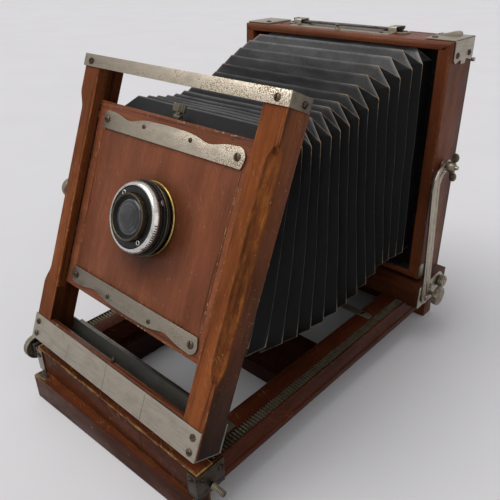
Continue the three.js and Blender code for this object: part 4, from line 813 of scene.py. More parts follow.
@register_operator
class CAMERA_OT_front_standard(bpy.types.Operator):
    """Timber of the front standard: two chamfered uprights and the foot bar"""
    bl_idname = "view_camera.front_standard"
    bl_label = "Front Standard"

    def execute(self, context):
        # close rings where the chamfer starts and stops
        heights = [15.3, 40, *range(62, 91), 110, 150, 190, 212, *range(216, 241), 252, 264]
        for side, sign in SIDES:
            timber = loft([upright_ring(sign, h) for h in heights])
            form = Form().add(timber, grain="z", tone=self.shade, worn=[self.rubbed(p) for p in timber[0]])
            form.make(f"upright_{side}_timber", "rubbed_mahogany", placed=LEANING, angle=40)
        bar = Form().wood(block(-87, 87, 0.2, 6, 15.3, 37.8), "x", 0.62, tone=0.8)
        bar.metal(slab("z", disc(0, 4, 1.5, 20), 37, 42), "z", 1.2, slot=1)
        bar.make("foot_bar_timber", "board_mahogany screw_steel", placed=LEANING)
        return DONE

    def shade(self, point):
        """Painted light and shade: the front flat and the chamfer's outer arris lighter, the inner sides dark,
        and the outer side darkening towards its foot; a dark line runs along the chamfer's inner edge.
        """
        across, depth, height = abs(point[0]), point[1], point[2]
        cut = chamfer(height)
        if across < 92 and depth > 1:
            return 0.42
        if cut > 2 and abs(across - STANDARD_HALF + cut) < 0.9 and depth < 1:
            return 0.6
        if depth < 0.2 and across < 106:
            return 1.14
        if across > 106.1 and cut - 0.9 < depth < cut + 0.9:
            return 1.15
        return 0.94 if depth < cut * 0.95 else 0.06 + 0.8 * ease((height + 5) / 180)

    def rubbed(self, point):
        """How far the shellac is rubbed off: most along the chamfer."""
        across, depth, height = abs(point[0]), point[1], point[2]
        off = abs(across - STANDARD_HALF - depth + 6) / 1.4 if depth < 9 else 9
        return 0.42 * ease(1.6 - off / 3) * ease(min((height - 60) / 20, (245 - height) / 20)) * (across > 96)


@register_operator
class CAMERA_OT_standard_plates(bpy.types.Operator):
    """Nickel straps across the foot and the top of the front standard, and the steel plate behind its foot"""
    bl_idname = "view_camera.standard_plates"
    bl_label = "Standard Plates"

    def execute(self, context):
        half, face = STANDARD_HALF, -1.5
        dents = sum([[(x - 0.4, face), (x - 0.1, face + 0.6), (x + 0.1, face + 0.6), (x + 0.4, face)]
                     for x in (-52, 0, 48)], [])
        outline = [(-half, -0.15), (-half, face)] + dents + [(half, face), (half, -0.15)]
        foot = Form().metal(slab("z", outline, 14.6, 37.2), "x", 0.88)
        foot.screws(*[((0, -1, 0), (x, face, s), 1.0, twist) for x in (-101, 101)
                      for s, twist in ((30.8, 0.9), (19.6, 0.4))])
        foot.make("foot_plate_nickel", "nickel screw_steel", placed=LEANING)
        # the sheet is lightened in its middle and darkened at its bent ends: painted light and shade
        dress("rear_foot_steel", "pale_steel", "x", 0.8, lambda p: 1.25 if abs(p[0]) < 104 else 0.5,
              "rear_foot_plate", LEANING, True)
        outer, inner = 108.2, 107.1
        outline = rounded([(-inner, 21), (-outer, 21), (-outer, -1.4), (outer, -1.4), (outer, 21), (inner, 21),
                           (inner, -0.3), (-inner, -0.3)], (0.3, 0.3, 1.3, 1.3, 0.3, 0.3, 0.3, 0.3))
        strap = softened(*slab("z", outline, 254.5, 264.2), 0.25)
        # the strap's side flaps darken towards the back, and their side screws are darker too: painted shade
        form = Form().add(strap, worn=[ease((p[0] + 40) / 120) * 0.95 * (abs(p[0]) < 107.9) for p in strap[0]],
                          tone=lambda p: 1.0 if abs(p[0]) < 107.9 else 0.62 - 0.3 * ease((p[1] + 1) / 16))
        for _, sign in SIDES:
            x = 98 * sign
            form.screws(((0, -1, 0), (x, -1.4, 258.8), 0.96, 1.1 + x))
            form.screws(((sign, 0, 0), (outer * sign, 14.4, 258.8), 0.93, 0.3 + x), tone=0.6)
        form.make("top_strap_nickel", "pitted_nickel screw_steel", placed=LEANING)
        profile = eased([(0, -91.6), (2, -91.6), (2, -108), (5.8, -108.3), (8.2, -109.4), (9, -110.6),
                         (9, -113.6), (8, -115.4), (5, -116.6), (0, -117)], 0.4)
        knob = turned("x", profile, (0, 13, 151), 72, 36, size("knurl_depth"), lambda r, h: r > 8.8)
        Form().add(knob).make("rise_knob_nickel", "turned_nickel", placed=LEANING)
        return DONE


# ------------------------------------------------------------ rising panel
def keeper(middle, up):
    """Outline of a keeper plate: straight towards the board, a double curve on its other side."""
    lobe, reach = 7.0, 71.5
    end = [(reach + lobe - 2.2, -lobe), (reach + lobe - 1.4, -lobe + 0.8)] + arc(reach, 0, lobe, -18, 90, 10)
    outline = list(end)
    for i in range(1, 56):
        share = abs(1 - 2 * i / 56)
        dip = 3.6 * math.exp(-((share - 0.62) / 0.17) ** 2)
        crown = 0.6 * math.exp(-(share / 0.3) ** 2)
        outline.append((reach * (1 - 2 * i / 56), lobe - dip + crown - 0.2))
    outline += [(-x, z) for x, z in reversed(end)]
    return [(x, middle + (-7.4 if z < -6.9 else z) * up) for x, z in outline]


@register_operator
class CAMERA_OT_rising_panel(bpy.types.Operator):
    """Rising panel with the lens board, its two keeper plates and the keeper screw"""
    bl_idname = "view_camera.rising_panel"
    bl_label = "Rising Panel"

    def execute(self, context):
        panel = Form().wood(from_cad("rising_panel", LEANING), "x", 0.62, tone=1.1)
        # the gap between the panel and its grooves, filled by a black strip as its painted shadow
        for _, sign in SIDES:
            panel.metal(block(*span(sign, 86.5, 87.25), 7.3, 7.9, 78, 229), "z", 0.4, 1)
        panel.make("rising_panel_timber", "board_mahogany black_wood", placed=LEANING)
        dress("lens_board_timber", "lens_board_mahogany", "z", 0.44, placed=LEANING)
        face = 6.25
        for name, middle, up, rusty, tone in (("top_keeper", 217.6, 1, 0.8, 1.0),
                                              ("bottom_keeper", 84.6, -1, 0.35, 0.72)):
            plate = softened(*slab("y", keeper(middle, up), face, face + 1.4), 0.3)
            form = Form().add(plate, worn=[ease((p[0] + 45) / 100) * rusty for p in plate[0]], tone=tone)
            for _, sign in SIDES:
                form.screws(((0, -1, 0), (sign * 72, face, middle), 1.1, 0.8 + sign),
                            ((0, -1, 0), (sign * 26, face, middle + 2 * up), 0.67, 0.3 + sign))
            form.make(f"{name}_nickel", "pitted_nickel screw_steel", placed=LEANING)
        profile = eased([(0, -8.4), (1.8, -8.4), (1.8, 1.2), (3.6, 1.2), (3.6, 3.4), (2.2, 3.8), (2.2, 5.4),
                         (4.8, 5.5), (5, 5.8), (5, 11.2), (4.7, 11.6), (0, 11.6)], 0.2)
        knob = turned("z", profile, (0, 13.6, 231), 72, 28, size("knurl_depth"), lambda r, h: r > 4.8)
        Form().add(knob, tone=0.6).make("keeper_screw_nickel", "turned_nickel", placed=LEANING)
        dress("bellows_front_timber", "black_wood", "x", 0.5, node="bellows_front_frame", placed=LEANING)
        return DONE


# ------------------------------------------------------------ lens
def lens_ring(profile, radius=0.25, sides=96, ridges=0, depth=0.0, where=None):
    """A ring round the lens, from (radius, depth behind the front of the standard)."""
    return turned("y", eased(profile, radius), (0, 0, LENS_HEIGHT), sides, ridges, depth, where)


@register_operator
class CAMERA_OT_lens(bpy.types.Operator):
    """Lens in its shutter: flange, barrel, iris ring, shutter drum, speed ring, front cell and glass"""
    bl_idname = "view_camera.lens"
    bl_label = "Lens"

    def execute(self, context):
        flange = lens_ring([(24.5, 7.7), (28.9, 7.7), (28.9, 7), (28.2, 6.3), (24.5, 6.3), (24.5, 7.7)], 0.2)
        Form().add(flange, tone=lambda p: 0.32 + 0.85 * ease((p[0] + p[2] - 160) / 24)).make(
            "lens_flange_brass", "brass", placed=LEANING, angle=38)
        barrel = [(0, 17.6), (14.6, 16.6), (14.6, 20), (21.5, 20), (21.5, 7.6), (24.2, 7.6), (24.2, 5.4),
                  (26.6, 5.4), (26.6, 4.4), (26.1, 4.1), (26.1, 2.6), (26.6, 2.3), (26.6, 1.9), (25.4, 1.9),
                  (25.4, 1.4), (20, 1.4), (20, 12.4), (0, 12.4)]
        milled = lens_ring(barrel, 0.25, 144, 72, 0.25, lambda r, h: 25.9 < r < 26.3 and 2.8 < h < 3.9)
        Form().add(milled).make("lens_barrel_enamel", "black_enamel", placed=LEANING, angle=38,
                                slot="bronzed_brass")
        self.iris_ring()
        self.drum()
        self.speed_ring()
        self.front_cell()
        return DONE

    def iris_ring(self):
        rim = [(25.6, 1.3), (28.4, 1.3), (28.7, 1.0), (28.7, 0.6), (28.4, 0.3), (25.6, 0.3), (25.6, 1.3)]
        body = [(25.6, 0.5), (28.2, 0.5), (28.2, -1.6), (27.9, -1.9), (25.6, -1.9), (25.6, 0.5)]
        form = Form().add(lens_ring(rim, 0.15))
        form.add(lens_ring(body, 0.15, 180, 90, 0.2, lambda r, h: r > 28), 1)
        lever = moved(slab("z", disc(0, 0, 1.2, 16), -2, 2), facing((-1, 0, 0), (-29.1, -0.3, 151.3)))
        form.metal(lever, "x", 1.0, 1)
        form.make("iris_ring_bronze", "bronzed_brass black_enamel", placed=LEANING, angle=38)

    def drum(self):
        line = [(6, 3.4), (19.7, 3.4), (19.7, 1.1), (25.2, 1.1), (25.2, -5.6), (22.7, -5.8), (22.7, -8.8),
                (18, -8.8), (18, 2.6), (6, 2.6), (6, 3.4)]
        form = Form().add(lens_ring(line))
        cup = eased([(1.1, -0.2), (1.9, -0.2), (1.9, 0.6), (1.5, 0.9), (1.2, 0.6), (1.1, -0.2)], 0.15)
        hole = [(0, 0.3), (1.3, 0.3), (1.3, -0.2), (0, -0.2)]
        for turn in (131, -49):
            a = math.radians(turn)
            seat = facing((0, -1, 0), (20.4 * math.cos(a), -8.7, LENS_HEIGHT + 20.4 * math.sin(a)))
            for slot, profile in ((1, cup), (2, hole)):
                form.add(moved(turned("z", profile, (0, 0, 0), 24), seat), slot)
        form.make("shutter_drum_enamel", "black_enamel silver engraving", placed=LEANING)

    def speed_ring(self):
        bevel = [(26.3, -5.2), (27, -5.3), (27.05, -5.9), (26.8, -6.8), (26.2, -7.9), (25.4, -8.8),
                 (24.7, -9.3), (24, -9.5), (23.4, -9.4), (23.1, -9), (23, -6.1), (26.3, -5.2)]
        form = Form().add(turned("y", bevel, (0, 0, LENS_HEIGHT), 144))
        black = [(25.5, -2.1), (27, -2.1), (27.2, -2.4), (27.2, -3.9), (26.9, -4.2), (25.5, -4.2), (25.5, -2.1)]
        form.add(lens_ring([(25.5, -4.3), (26.9, -4.3), (26.9, -5.3), (25.5, -5.3), (25.5, -4.3)], 0.12), 2)
        form.add(lens_ring(black, 0.12), 1)
        # slots through the rim, with the pin of the shutter's trip between them; the pin is cut to the size of
        # its glint and drawn in the silver finish, a painted highlight
        pin = rounded(oblong(-1.2, 1.2, -2.3, 2.3), 1)
        for turn, back, shape, kind in ((44, -2.7, disc(0, 0, 1.7, 20), 1), (33, -3.3, disc(0, 0, 1.4, 20), 1),
                                        (37.5, -2.0, pin, 0)):
            spot = Matrix.Translation((0, 0, LENS_HEIGHT)) @ Matrix.Rotation(-math.radians(turn), 4, "Y")
            plate = slab("x", [(u + back, v) for u, v in shape], 26.8, 27.6 if kind else 28.1)
            form.metal(moved(plate, spot), "x", 0.5, kind)
        # the stops are marked by plain black strokes round the right-hand side of the bevel
        back = Vector((0, 1, 0))
        for i, turn in enumerate(range(-46, 3, 4)):
            a = math.radians(turn)
            out = Vector((math.cos(a), 0, math.sin(a)))
            slope = (out * 0.48 + back * 0.88).normalized()
            across = out.cross(back).normalized()
            on = Matrix((across, slope, across.cross(slope))).transposed().to_4x4()
            on.translation = out * 26.52 + back * -7.35 + Vector((0, 0, LENS_HEIGHT))
            long = 1.2 if i % 3 == 0 else 0.8
            form.metal(moved(block(-0.3, 0.3, -long, long, -0.3, 0.3), on), "x", 0.2, 1)
        form.make("speed_ring_silver", "silver engraving bronzed_brass", placed=LEANING, angle=38)

    def front_cell(self):
        """The cell's rim is bronzed; its bore is blacked against stray light and cut in fine steps."""
        rim = [(16.2, -9.4), (16.1, -13), (17, -13.5), (17.6, -13), (17.7, -9.8), (17.7, 1), (14.4, 1),
               (14.4, 0.4), (16.4, 0.2), (16.4, -9.4), (16.2, -9.4)]
        bore = [(13.4, 0.6), (13.4, -10.7)]
        for i in range(4):
            bore += [(13.8 + i * 0.6, -10.8 - i * 0.5), (14.3 + i * 0.6, -10.9 - i * 0.5)]
        bore += [(16.2, -12.9), (16.35, -12.7), (16.35, 0.6), (13.4, 0.6)]
        form = Form().add(lens_ring(rim, 0.2))
        form.add(turned("y", bore, (0, 0, LENS_HEIGHT), 96), 1)
        form.make("front_cell_bronze", "bronzed_brass engraving", placed=LEANING, angle=38)
        dome = [(13.9 * r, -10.6 - 1.9 * h) for r, h in arc(0, 0, 1, 10, 82, 9)]
        line = [(0, -1.7), (13.9, -4.5), (13.9, -10.6)] + dome + [(0, -12.5)]
        crown = turned("y", line, (0, 0, LENS_HEIGHT), 72)
        radius = [math.hypot(x, z - LENS_HEIGHT) for x, _, z in crown[0]]
        Form().add(crown, worn=radius).make("front_glass_crown", "lens_glass", placed=LEANING, angle=60)


# ------------------------------------------------------------ bellows
# where the side folds stand out, and how the top folds drop, as shares of the length from the rear frame
SIDE_FOLDS = (0.111, 0.186, 0.268, 0.339, 0.407, 0.467, 0.519, 0.573, 0.624, 0.671, 0.725, 0.771, 0.818, 0.862,
              0.905)
FRONT_RIDGE = 0.93
TOP_SHARES = (0, 0.07, 0.148, 0.227, 0.303, 0.373, 0.437, 0.493, 0.546, 0.598, 0.647, 0.7, 0.752, 0.794, 0.837,
              0.876, 0.93, 1)
TOP_Z = (239.2, 240, 240.5, 237, 232.4, 227.2, 221.2, 215.7, 211.8, 209.8, 208.2, 206.4, 205.8, 206.2, 207.2,
         208.4, 210, 208.8)
REAR_END = 14.0
# where the lower tips of the side folds hang: the cloth sags between the frame and the standard
LOW_Y = (14, -1, -12, -23, -32, -43, -57, -70, -85, -98, -118, -136, -154, -173, -192, -211, -244.5)
LOW_Z = (49, 50, 50, 50, 49.5, 43, 37, 31.5, 28.5, 26.5, 26, 27, 28.5, 31.5, 39, 48.5, 76.4)
# the spans from fold to fold, and those along top, corner, side, corner, bottom, corner, side and corner
SHARES = (0.0, 0.1, 0.3, 0.5, 0.7, 0.9)
LENGTHS = (16, 6, 18, 6, 16, 6, 18, 6)
AROUND = sum(LENGTHS)
# the bodies that the bellows passes, and the shares of its length at which it is cut between them
BODIES = ("rear_body", "rear_carriage", "bed", "front_carriage", "front_standard", "lens_panel")
CUTS = (0, 0.2, 0.4, 0.71, 0.85, 1)
LOOSE_SEED = 7


def bellows_ring(t, fold, shrink):
    """Eight corners of a ring. fold is 1 where the sides stand out, -1 where top and bottom do, 0 at an end."""
    depth = 9.4 - 0.8 * t
    # the last ring lies along the leaning standard
    front_y = STANDARD_Y + 224 * math.sin(LEAN) + 25 * math.cos(LEAN)
    out = 96.5 + (80.3 - 96.5) * t
    side = out - depth * (1 - fold) / 2 - shrink
    square = ease((t - 0.75) / 0.25)
    end = out - 15.5 + 8.5 * square - shrink
    crest = float(np.interp(t, TOP_SHARES, TOP_Z))
    low_y, tip = (float(np.interp(t, (0,) + SIDE_FOLDS + (1,), row)) for row in (LOW_Y, LOW_Z))
    top = crest - depth * (1 + fold) / 2 - shrink
    low = tip - 13 + depth * (1 + fold) / 2 + shrink
    side_top, side_low = crest - 10 - 6 * t + 9 * square - shrink, tip + shrink
    top_y = REAR_END + (front_y - REAR_END) * t
    half = [(end, top), (side, side_top), (side, side_low), (end, low)]
    corners = [(-end, top)] + half + [(-x, z) for x, z in half[:0:-1]]
    return [Vector((x, top_y + (low_y - top_y) * (crest - z) / (crest - tip), z)) for x, z in corners]


def bellows_folds():
    """Every ring from the rear frame to the front one, as (share, fold)."""
    folds = [(0.0, 0), (SIDE_FOLDS[0] * 0.4, -1)]
    for t, after in zip(SIDE_FOLDS, SIDE_FOLDS[1:] + (1.0,)):
        folds += [(t, 1), ((t + after) / 2 if after < 1 else FRONT_RIDGE, -1)]
    return folds + [(1.0, 0)]


def pleat(p, q, r, s, u, share, side, stands_out):
    """A point of a flat pleat between p, q and r, s, its distance from the ridge and from the nearest tip."""
    point = p.lerp(q, u).lerp(r.lerp(s, u), share)
    if side in (2, 6):
        # the sides hang straight from the top and swing towards their lower tips
        ends = [p.lerp(r, share), q.lerp(s, share)]
        high, foot, down = (*ends, u) if side == 2 else (*ends[::-1], 1 - u)
        point.y = high.y + (foot.y - high.y) * down ** 1.35
    near = (share if stands_out else 1 - share) * (p - r).length
    return point, near, min((point - c).length for c in ((p, q) if stands_out else (r, s)))


def mitre(p, q, r, s, u, share, on):
    """The same for a corner: two flat triangles that meet along the fold from q to r, where on is 0."""
    point = p + (q - p) * u + (r - p) * share if on <= 0 else s + (r - s) * (1 - u) + (q - s) * (1 - share)
    return point, abs(on) * ((q - r).length * 0.4), min((point - q).length, (point - r).length)


def bellows_grid(first, last, shrink):
    """(point, distance from the ridge, distance from the tip) for every point between two rings."""
    made = []
    a, b = bellows_ring(*first, shrink), bellows_ring(*last, shrink)
    outward = first[1] > 0 if first[1] else last[1] < 0
    for share in SHARES:
        for side, spans in enumerate(LENGTHS):
            near, far = (a[side], a[(side + 1) % 8]), (b[side], b[(side + 1) % 8])
            for i in range(spans):
                if side % 2 == 0:
                    stands_out = (side % 4 == 2) == (first[1] > 0)
                    made.append(pleat(*near, *far, i / spans, share, side, stands_out))
                elif outward == (side in (1, 5)):
                    made.append(mitre(*near, *far, SHARES[i], share, SHARES[i] + share - 1))
                else:
                    made.append(mitre(*far, *near, SHARES[i], 1 - share, SHARES[i] - share))
    return made


@register_operator
class CAMERA_OT_bellows(bpy.types.Operator):
    """Pleated bellows with mitred corner folds, in five lengths that stretch between the moving parts"""
    bl_idname = "view_camera.bellows"
    bl_label = "Bellows"

    def execute(self, context):
        # without a seed of its own, the looseness of the cloth would differ from run to run
        noise.seed_set(LOOSE_SEED)
        folds = bellows_folds()
        cuts = [min(range(len(folds)), key=lambda i: abs(folds[i][0] - share)) for share in CUTS]
        for part, (first, last) in enumerate(zip(cuts, cuts[1:])):
            skins = []
            for shrink in (0.0, size("cloth")):
                grids = [bellows_grid(folds[k], folds[k + 1], shrink) for k in range(first, last)]
                skins.append(sum(grids, []) + bellows_grid(folds[last], folds[last - 1], shrink)[:AROUND])
            _, crease, tip = zip(*skins[0])
            outer, inner = [[self.rumpled(spot[0], near) for spot, near in zip(skin, crease)] for skin in skins]
            form = Form().add((outer + inner, self.weave(crease)))
            away = (9.0,) * len(crease)
            piece = form.object(f"bellows_cloth_{part + 1}", "bellows_leather", angle=24, crease=crease + away,
                                tip=tip + away)
            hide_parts("bellows")
            # each end of the length is a plane square to the way the cloth runs there
            rings = [[Vector(p) for p in ring] for ring in (outer[:AROUND], outer[-AROUND:])]
            normal = Vector((0, 0, 0))
            for ring in rings:
                down = min(ring, key=lambda p: p.z) - max(ring, key=lambda p: p.z)
                normal += Vector((0, down.z, -down.y)).normalized()
            normal.normalize()
            start, end = max(p.dot(normal) for p in rings[0]), min(p.dot(normal) for p in rings[1])
            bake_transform(piece, BODIES[part], BODIES[part + 1], start=(ORIGIN + normal * start) * MM,
                     end=(ORIGIN + normal * end) * MM)
        return DONE

    def weave(self, crease):
        """The faces of the outer skin, split along the folds, of the inner skin and of the two edges."""
        faces, count = [], len(crease)
        for row in range(0, count - AROUND, AROUND):
            for i in range(AROUND):
                j = (i + 1) % AROUND
                a, b, c, d = row + i, row + j, row + AROUND + j, row + AROUND + i
                if crease[b] + crease[d] < crease[a] + crease[c]:
                    faces += [(a, b, d), (b, c, d)]
                else:
                    faces += [(a, b, c), (a, c, d)]
        faces += [tuple(i + count for i in f[::-1]) for f in faces]
        for row in (0, count - AROUND):
            for i in range(AROUND):
                a, b = row + i, row + (i + 1) % AROUND
                faces.append((b, a, a + count, b + count) if row == 0 else (a, b, b + count, a + count))
        return faces

    def rumpled(self, point, crease):
        """The cloth between folds is a little loose, and no fold is quite straight."""
        slow = noise.noise_vector(point * 0.021) * Vector((0.7, 1.7, 0.6))
        quick = noise.noise_vector(point * 0.09 + Vector((7, 3, 1)))
        loose = quick * size("looseness") * min(crease / 5.0, 1.0)
        return tuple(point + (slow + loose) * ease((REAR_END - point.y) / 12))


# ------------------------------------------------------------ rear carriage
@register_operator
class CAMERA_OT_rear_carriage(bpy.types.Operator):
    """Cross block of the rear carriage with its end plates, swing nuts and the rack pinion shaft"""
    bl_idname = "view_camera.rear_carriage"
    bl_label = "Rear Carriage"

    def execute(self, context):
        # the block is darkened as painted shade under the bellows
        dress("rear_block_timber", "mahogany", tone=0.45)
        inner = 119.8
        outline = rounded([(-9, -2), (44, -2), (44, 12), (36, 22), (-6, 22), (-9, 18)], (1.5, 2, 2, 3, 3, 2))
        for side, sign in SIDES:
            form = Form().metal(slab("x", outline, *span(sign, inner, inner + 1.5)), "y", 1.2)
            form.metal(slab("x", disc(2, 8, 2, 20), *span(sign, inner + 1, inner + 5.4)), "y", 1.6)
            form.metal(slab("x", disc(33, 13, 2, 20), *span(sign, inner + 1, inner + 8)), "y", 1.2)
            form.screws(((sign, 0, 0), (sign * (inner + 1.5), 39, 3), 0.93, 0.6))
            form.make(f"end_plate_{side}_nickel", "bright_nickel screw_steel")
            line = [(2.3, 1.9), (5, 1.9), (6.2, 2.7), (6.2, 6.9), (5.4, 7.7), (2.3, 7.7), (2.3, 1.9)]
            line = [(r, (inner + h) * sign) for r, h in eased(line, 0.4)]
            nut = turned("x", line, (0, 33, 13), 72, 28, 0.4, lambda r, h: r > 6.0)
            Form().add(nut).make(f"swing_nut_{side}_nickel", "turned_nickel")
        self.pinion(18, 4.25)
        return DONE

    def pinion(self, y, z):
        """Shaft with two pinions, whose teeth stand between those of the racks, and two milled knobs."""
        form = Form().add(slab("x", disc(y, z, 2, 24), -130.6, 130.6))
        rack_end = -274
        phase = -math.pi / 2 + (rack_end + round((y - rack_end) / math.pi) * math.pi - y) / 5
        outline = []
        for tooth in range(10):
            for radius, k in ((3.75, -0.28), (6, -0.08), (6, 0.08), (3.75, 0.28)):
                a = math.tau * (tooth + k) / 10 + phase
                outline.append((y + radius * math.cos(a), z + radius * math.sin(a)))
        line = eased([(0, 125.8), (6, 125.8), (9.2, 126.4), (9.8, 127.2), (9.8, 130.8), (9.2, 131.6),
                      (7, 131.9), (5.4, 131.2), (0, 131.2)], 0.4)
        for _, sign in SIDES:
            form.metal(slab("x", outline, *span(sign, 97.2, 104.4)), "x", 0.6)
            knob = [(r, h * sign) for r, h in line]
            form.add(turned("x", knob, (0, y, z), 96, 40, 0.35, lambda r, h: r > 9.5))
        form.make("focus_pinion_nickel", "turned_nickel")


# ------------------------------------------------------------ rear frame
@register_operator
class CAMERA_OT_rear_frame(bpy.types.Operator):
    """Rear box frame: four mitred boards with rounded arrises, the black inner frame and the wing studs"""
    bl_idname = "view_camera.rear_frame"
    bl_label = "Rear Frame"

    def execute(self, context):
        form = Form()
        # top and bottom are thin with a rounded front arris, the side boards thick and nearly sharp
        for side, (wall, soft) in enumerate(((6.5, 3.8), (11, 1.9)) * 2):
            sign = 1 if side in (1, 2) else -1
            rings = []
            for end, inset, arris in ((-1, 0, 2.8), (-1, 24, soft), (1, 24, soft), (1, 0, 2.8)):
                ring = []
                for i, y in self.section(wall, arris):
                    cut = max(inset, min(i, 6.5))
                    out = (sign * (FRAME_HALF - i), end * (FRAME_RISE - cut)) if side % 2 else (
                        end * (FRAME_HALF - cut), sign * (FRAME_RISE - i))
                    ring.append((out[0], y, FRAME_MIDDLE + out[1]))
                rings.append(ring)
            form.add(loft(rings), 0, "xzxz"[side], tone=self.shade)
        form.mitred([(0, 14.3), (0, 20.3), (22, 20.3), (22, 14.3)], FRAME_HALF - 10.5, FRAME_RISE - 6, 1)
        # a dull sheet lies on the bottom board, and small plates close its front corners
        form.metal(block(-101, 101, 2.4, 14.2, 30.3, 31), "x", 1.0, 2, tone=0.62)
        corner = rounded(oblong(0.7, 8.5, 25, 41), (2, 3, 5, 1))
        for _, sign in SIDES:
            form.metal(slab("x", corner, *span(sign, 112.8, 113.7)), "z", 0.8, 2, tone=0.8)
            for radius, end, sides in ((1.9, 127.6, 20), (5, 116, 28)):
                form.metal(slab("x", disc(19, 139, radius, sides), *span(sign, 109, end)), "x", 1.6, 2)
        form.make("rear_frame_timber", "mahogany black_wood nickel", angle=40)
        return DONE

    def section(self, wall, soft):
        """A board's section as (depth below its outer face, y), with its front arris rounded to soft."""
        curve = [(soft * (1 - math.sin(a)), soft * (1 - math.cos(a))) for a in np.linspace(0, math.pi / 2, 7)]
        return curve + [(0, 43.4), (0.6, 44), (wall - 0.6, 44), (wall, 43.4), (wall, 0.8), (wall - 0.8, 0)]

    # painted shade: the sides and insides of the boards darker than their fronts and tops, and darker still
    # towards the bottom
    def shade(self, p):
        return 0.94 if p[1] < 2 or p[2] > 240 else 0.7 - 0.1 * ease((60 - p[2]) / 50)


@register_operator
class CAMERA_OT_frame_fittings(bpy.types.Operator):
    """Corner wraps, carrying handle, struts and wing nuts of the rear frame"""
    bl_idname = "view_camera.frame_fittings"
    bl_label = "Frame Fittings"

    def execute(self, context):
        for side, sign in SIDES:
            self.corner_wrap(side, sign)
        for side, sign in SIDES:
            self.wing_nut(side, sign)
            self.strut(side, sign)
        self.handle_plate()
        self.handle(27, FRAME_TOP + 0.3)
        return DONE

    def corner_wrap(self, side, sign):
        x, z, y0, y1 = FRAME_HALF + 0.3, FRAME_TOP + 0.3, 6.5, 42
        edge = [(y0, z + 1), (y0, z - 15.5), (y0 + 3, z - 18)]
        for t in (i / 24 for i in range(1, 24)):
            dip = -0.6 if 0.35 < t < 0.65 else 1
            edge.append((y0 + 3 + (y1 - y0 - 6) * t, z - 18 + 2.6 * math.sin(math.pi * t) * dip))
        edge += [(y1 - 3, z - 18), (y1, z - 15.5), (y1, z + 1)]
        form = Form().metal(slab("x", edge, *span(sign, x, x + 1)), "y", 1.0)
        form.metal(block(*span(sign, 86, x + 1), y0, y1, z, z + 1), "x", 1.2)
        if sign > 0:
            # the catch: a strip bent up over the plate, with its end rolled down
            strip = [(-29, 0), (-8, 0), (-8, 3.4), (-10, 4.4), (-15, 4), (-22, 1.6), (-29, 1.4)]
            strip = rounded([(x + u, z + v) for u, v in strip], (0.2, 0.2, 0.9, 1.2, 3, 4, 0.4))
            form.metal(slab("y", strip, 27, 37), "x", 1.4)
            for y in (29.5, 34.5):
                form.metal(slab("z", disc(x - 25.6, y, 1.0, 16), z + 1.2, z + 1.9), "x", 0.8, 1)
        side_way, outer = (sign, 0, 0), sign * (x + 1)
        heads = [(side_way, (outer, 11.5, z - 11.6)), (side_way, (outer, 34, z - 11.6)),
                 ((0, 0, 1), (sign * 92, 13, z + 1))]
        form.screws(*[(way, at, 0.93, 0.4 + i * 1.3 + sign) for i, (way, at) in enumerate(heads)])
        form.make(f"corner_wrap_{side}_nickel", "nickel screw_steel")

    def handle(self, y, z):
        """The two loops, and the strip of steel between them that its leather has gone from."""
        arch = [(-7, 0), (-7, 5.4), (7, 5.4), (7, 0), (5.4, 0), (5.4, 4.2), (-5.4, 4.2), (-5.4, 0)]
        arch = rounded([(y + u, z + v) for u, v in arch], (0.3, 1.8, 1.8, 0.3, 0.2, 0.9, 0.9, 0.2))
        for name, x in (("left", -60), ("right", 47)):
            form = Form().metal(slab("x", arch, x - 4, x + 4), "y", 1.2)
            form.metal(slab("z", rounded(oblong(x - 13, x + 13, y - 6, y + 6), 4), z - 0.2, z + 1.1), "x", 1.0)
            form.screws(*[((0, 0, 1), (x + d, y, z + 1.1), 0.75, 0.5 + x + d) for d in (-9.6, 9.6)])
            form.make(f"handle_loop_{name}_nickel", "nickel screw_steel")
        end = [(-7, 3.6), (-6.7, 1.2), (-5.4, 0.2), (0, 0)]
        path = [(u - 60, z + 2 + v) for u, v in end] + [(47 - u, z + 2 + v) for u, v in reversed(end)]
        # the strip's ends are turned up, so there its other face lies inwards, and elsewhere above
        back = [(x - math.copysign(1.5, x) * (h > z + 2.9), h + 1.3 * (h < z + 5)) for x, h in reversed(path)]
        strip = slab("y", path + back, y - 4.4, y + 4.4)
        Form().metal(strip, "x", 1.0, tone=0.55).make("handle_bar_steel", "steel")

    def handle_plate(self):
        """Long nickel plate let into the top board under the handle, with a small button at its middle."""
        outline = rounded(oblong(-63, 50, 9, 30), 3)
        form = Form().metal(slab("z", outline, FRAME_TOP - 0.6, FRAME_TOP + 0.7), "x", 0.8)
        form.screws(*[((0, 0, 1), (x, 13.5, FRAME_TOP + 0.7), 0.7, 0.4 + x) for x in (-52, 40)])
        button = eased([(0, -0.5), (2.6, -0.5), (2.6, 0.9), (1.6, 1.3), (1.4, 2.6), (2.3, 3.2), (2.4, 4.2),
                        (1.6, 4.9), (0, 5)], 0.4)
        form.add(turned("z", button, (-6, 12, FRAME_TOP + 0.7), 28), 2)
        form.screws(*[((0, 0, 1), (x, 17, FRAME_TOP), 0.6, 0.9 + x) for x in (-84, -78)])
        form.make("handle_plate_nickel", "nickel screw_steel turned_nickel", body="rear_body")

    def wing_nut(self, side, sign):
        x, y, z = 118.8, 19, 139
        line = eased([(2.2, x), (4.6, x), (4.6, x + 2), (3.6, x + 6), (2.2, x + 6), (2.2, x)], 0.4)
        form = Form().add(turned("x", [(r, h * sign) for r, h in line], (0, y, z), 48))
        for up in (-1, 1):
            wing = [(sign * (x + 5 + 0.8 * u), z + up * 9 + v) for u, v in disc(0, 0, 4.2)]
            form.metal(slab("y", wing, y - 0.9, y + 0.9), "z", 2.2)
            low, high = sorted((z + up * 3.2, z + up * 7))
            form.metal(block(*span(sign, x + 1.5, x + 6), y - 0.9, y + 0.9, low, high), "z", 1.6)
        form.make(f"wing_nut_{side}_nickel", "turned_nickel")

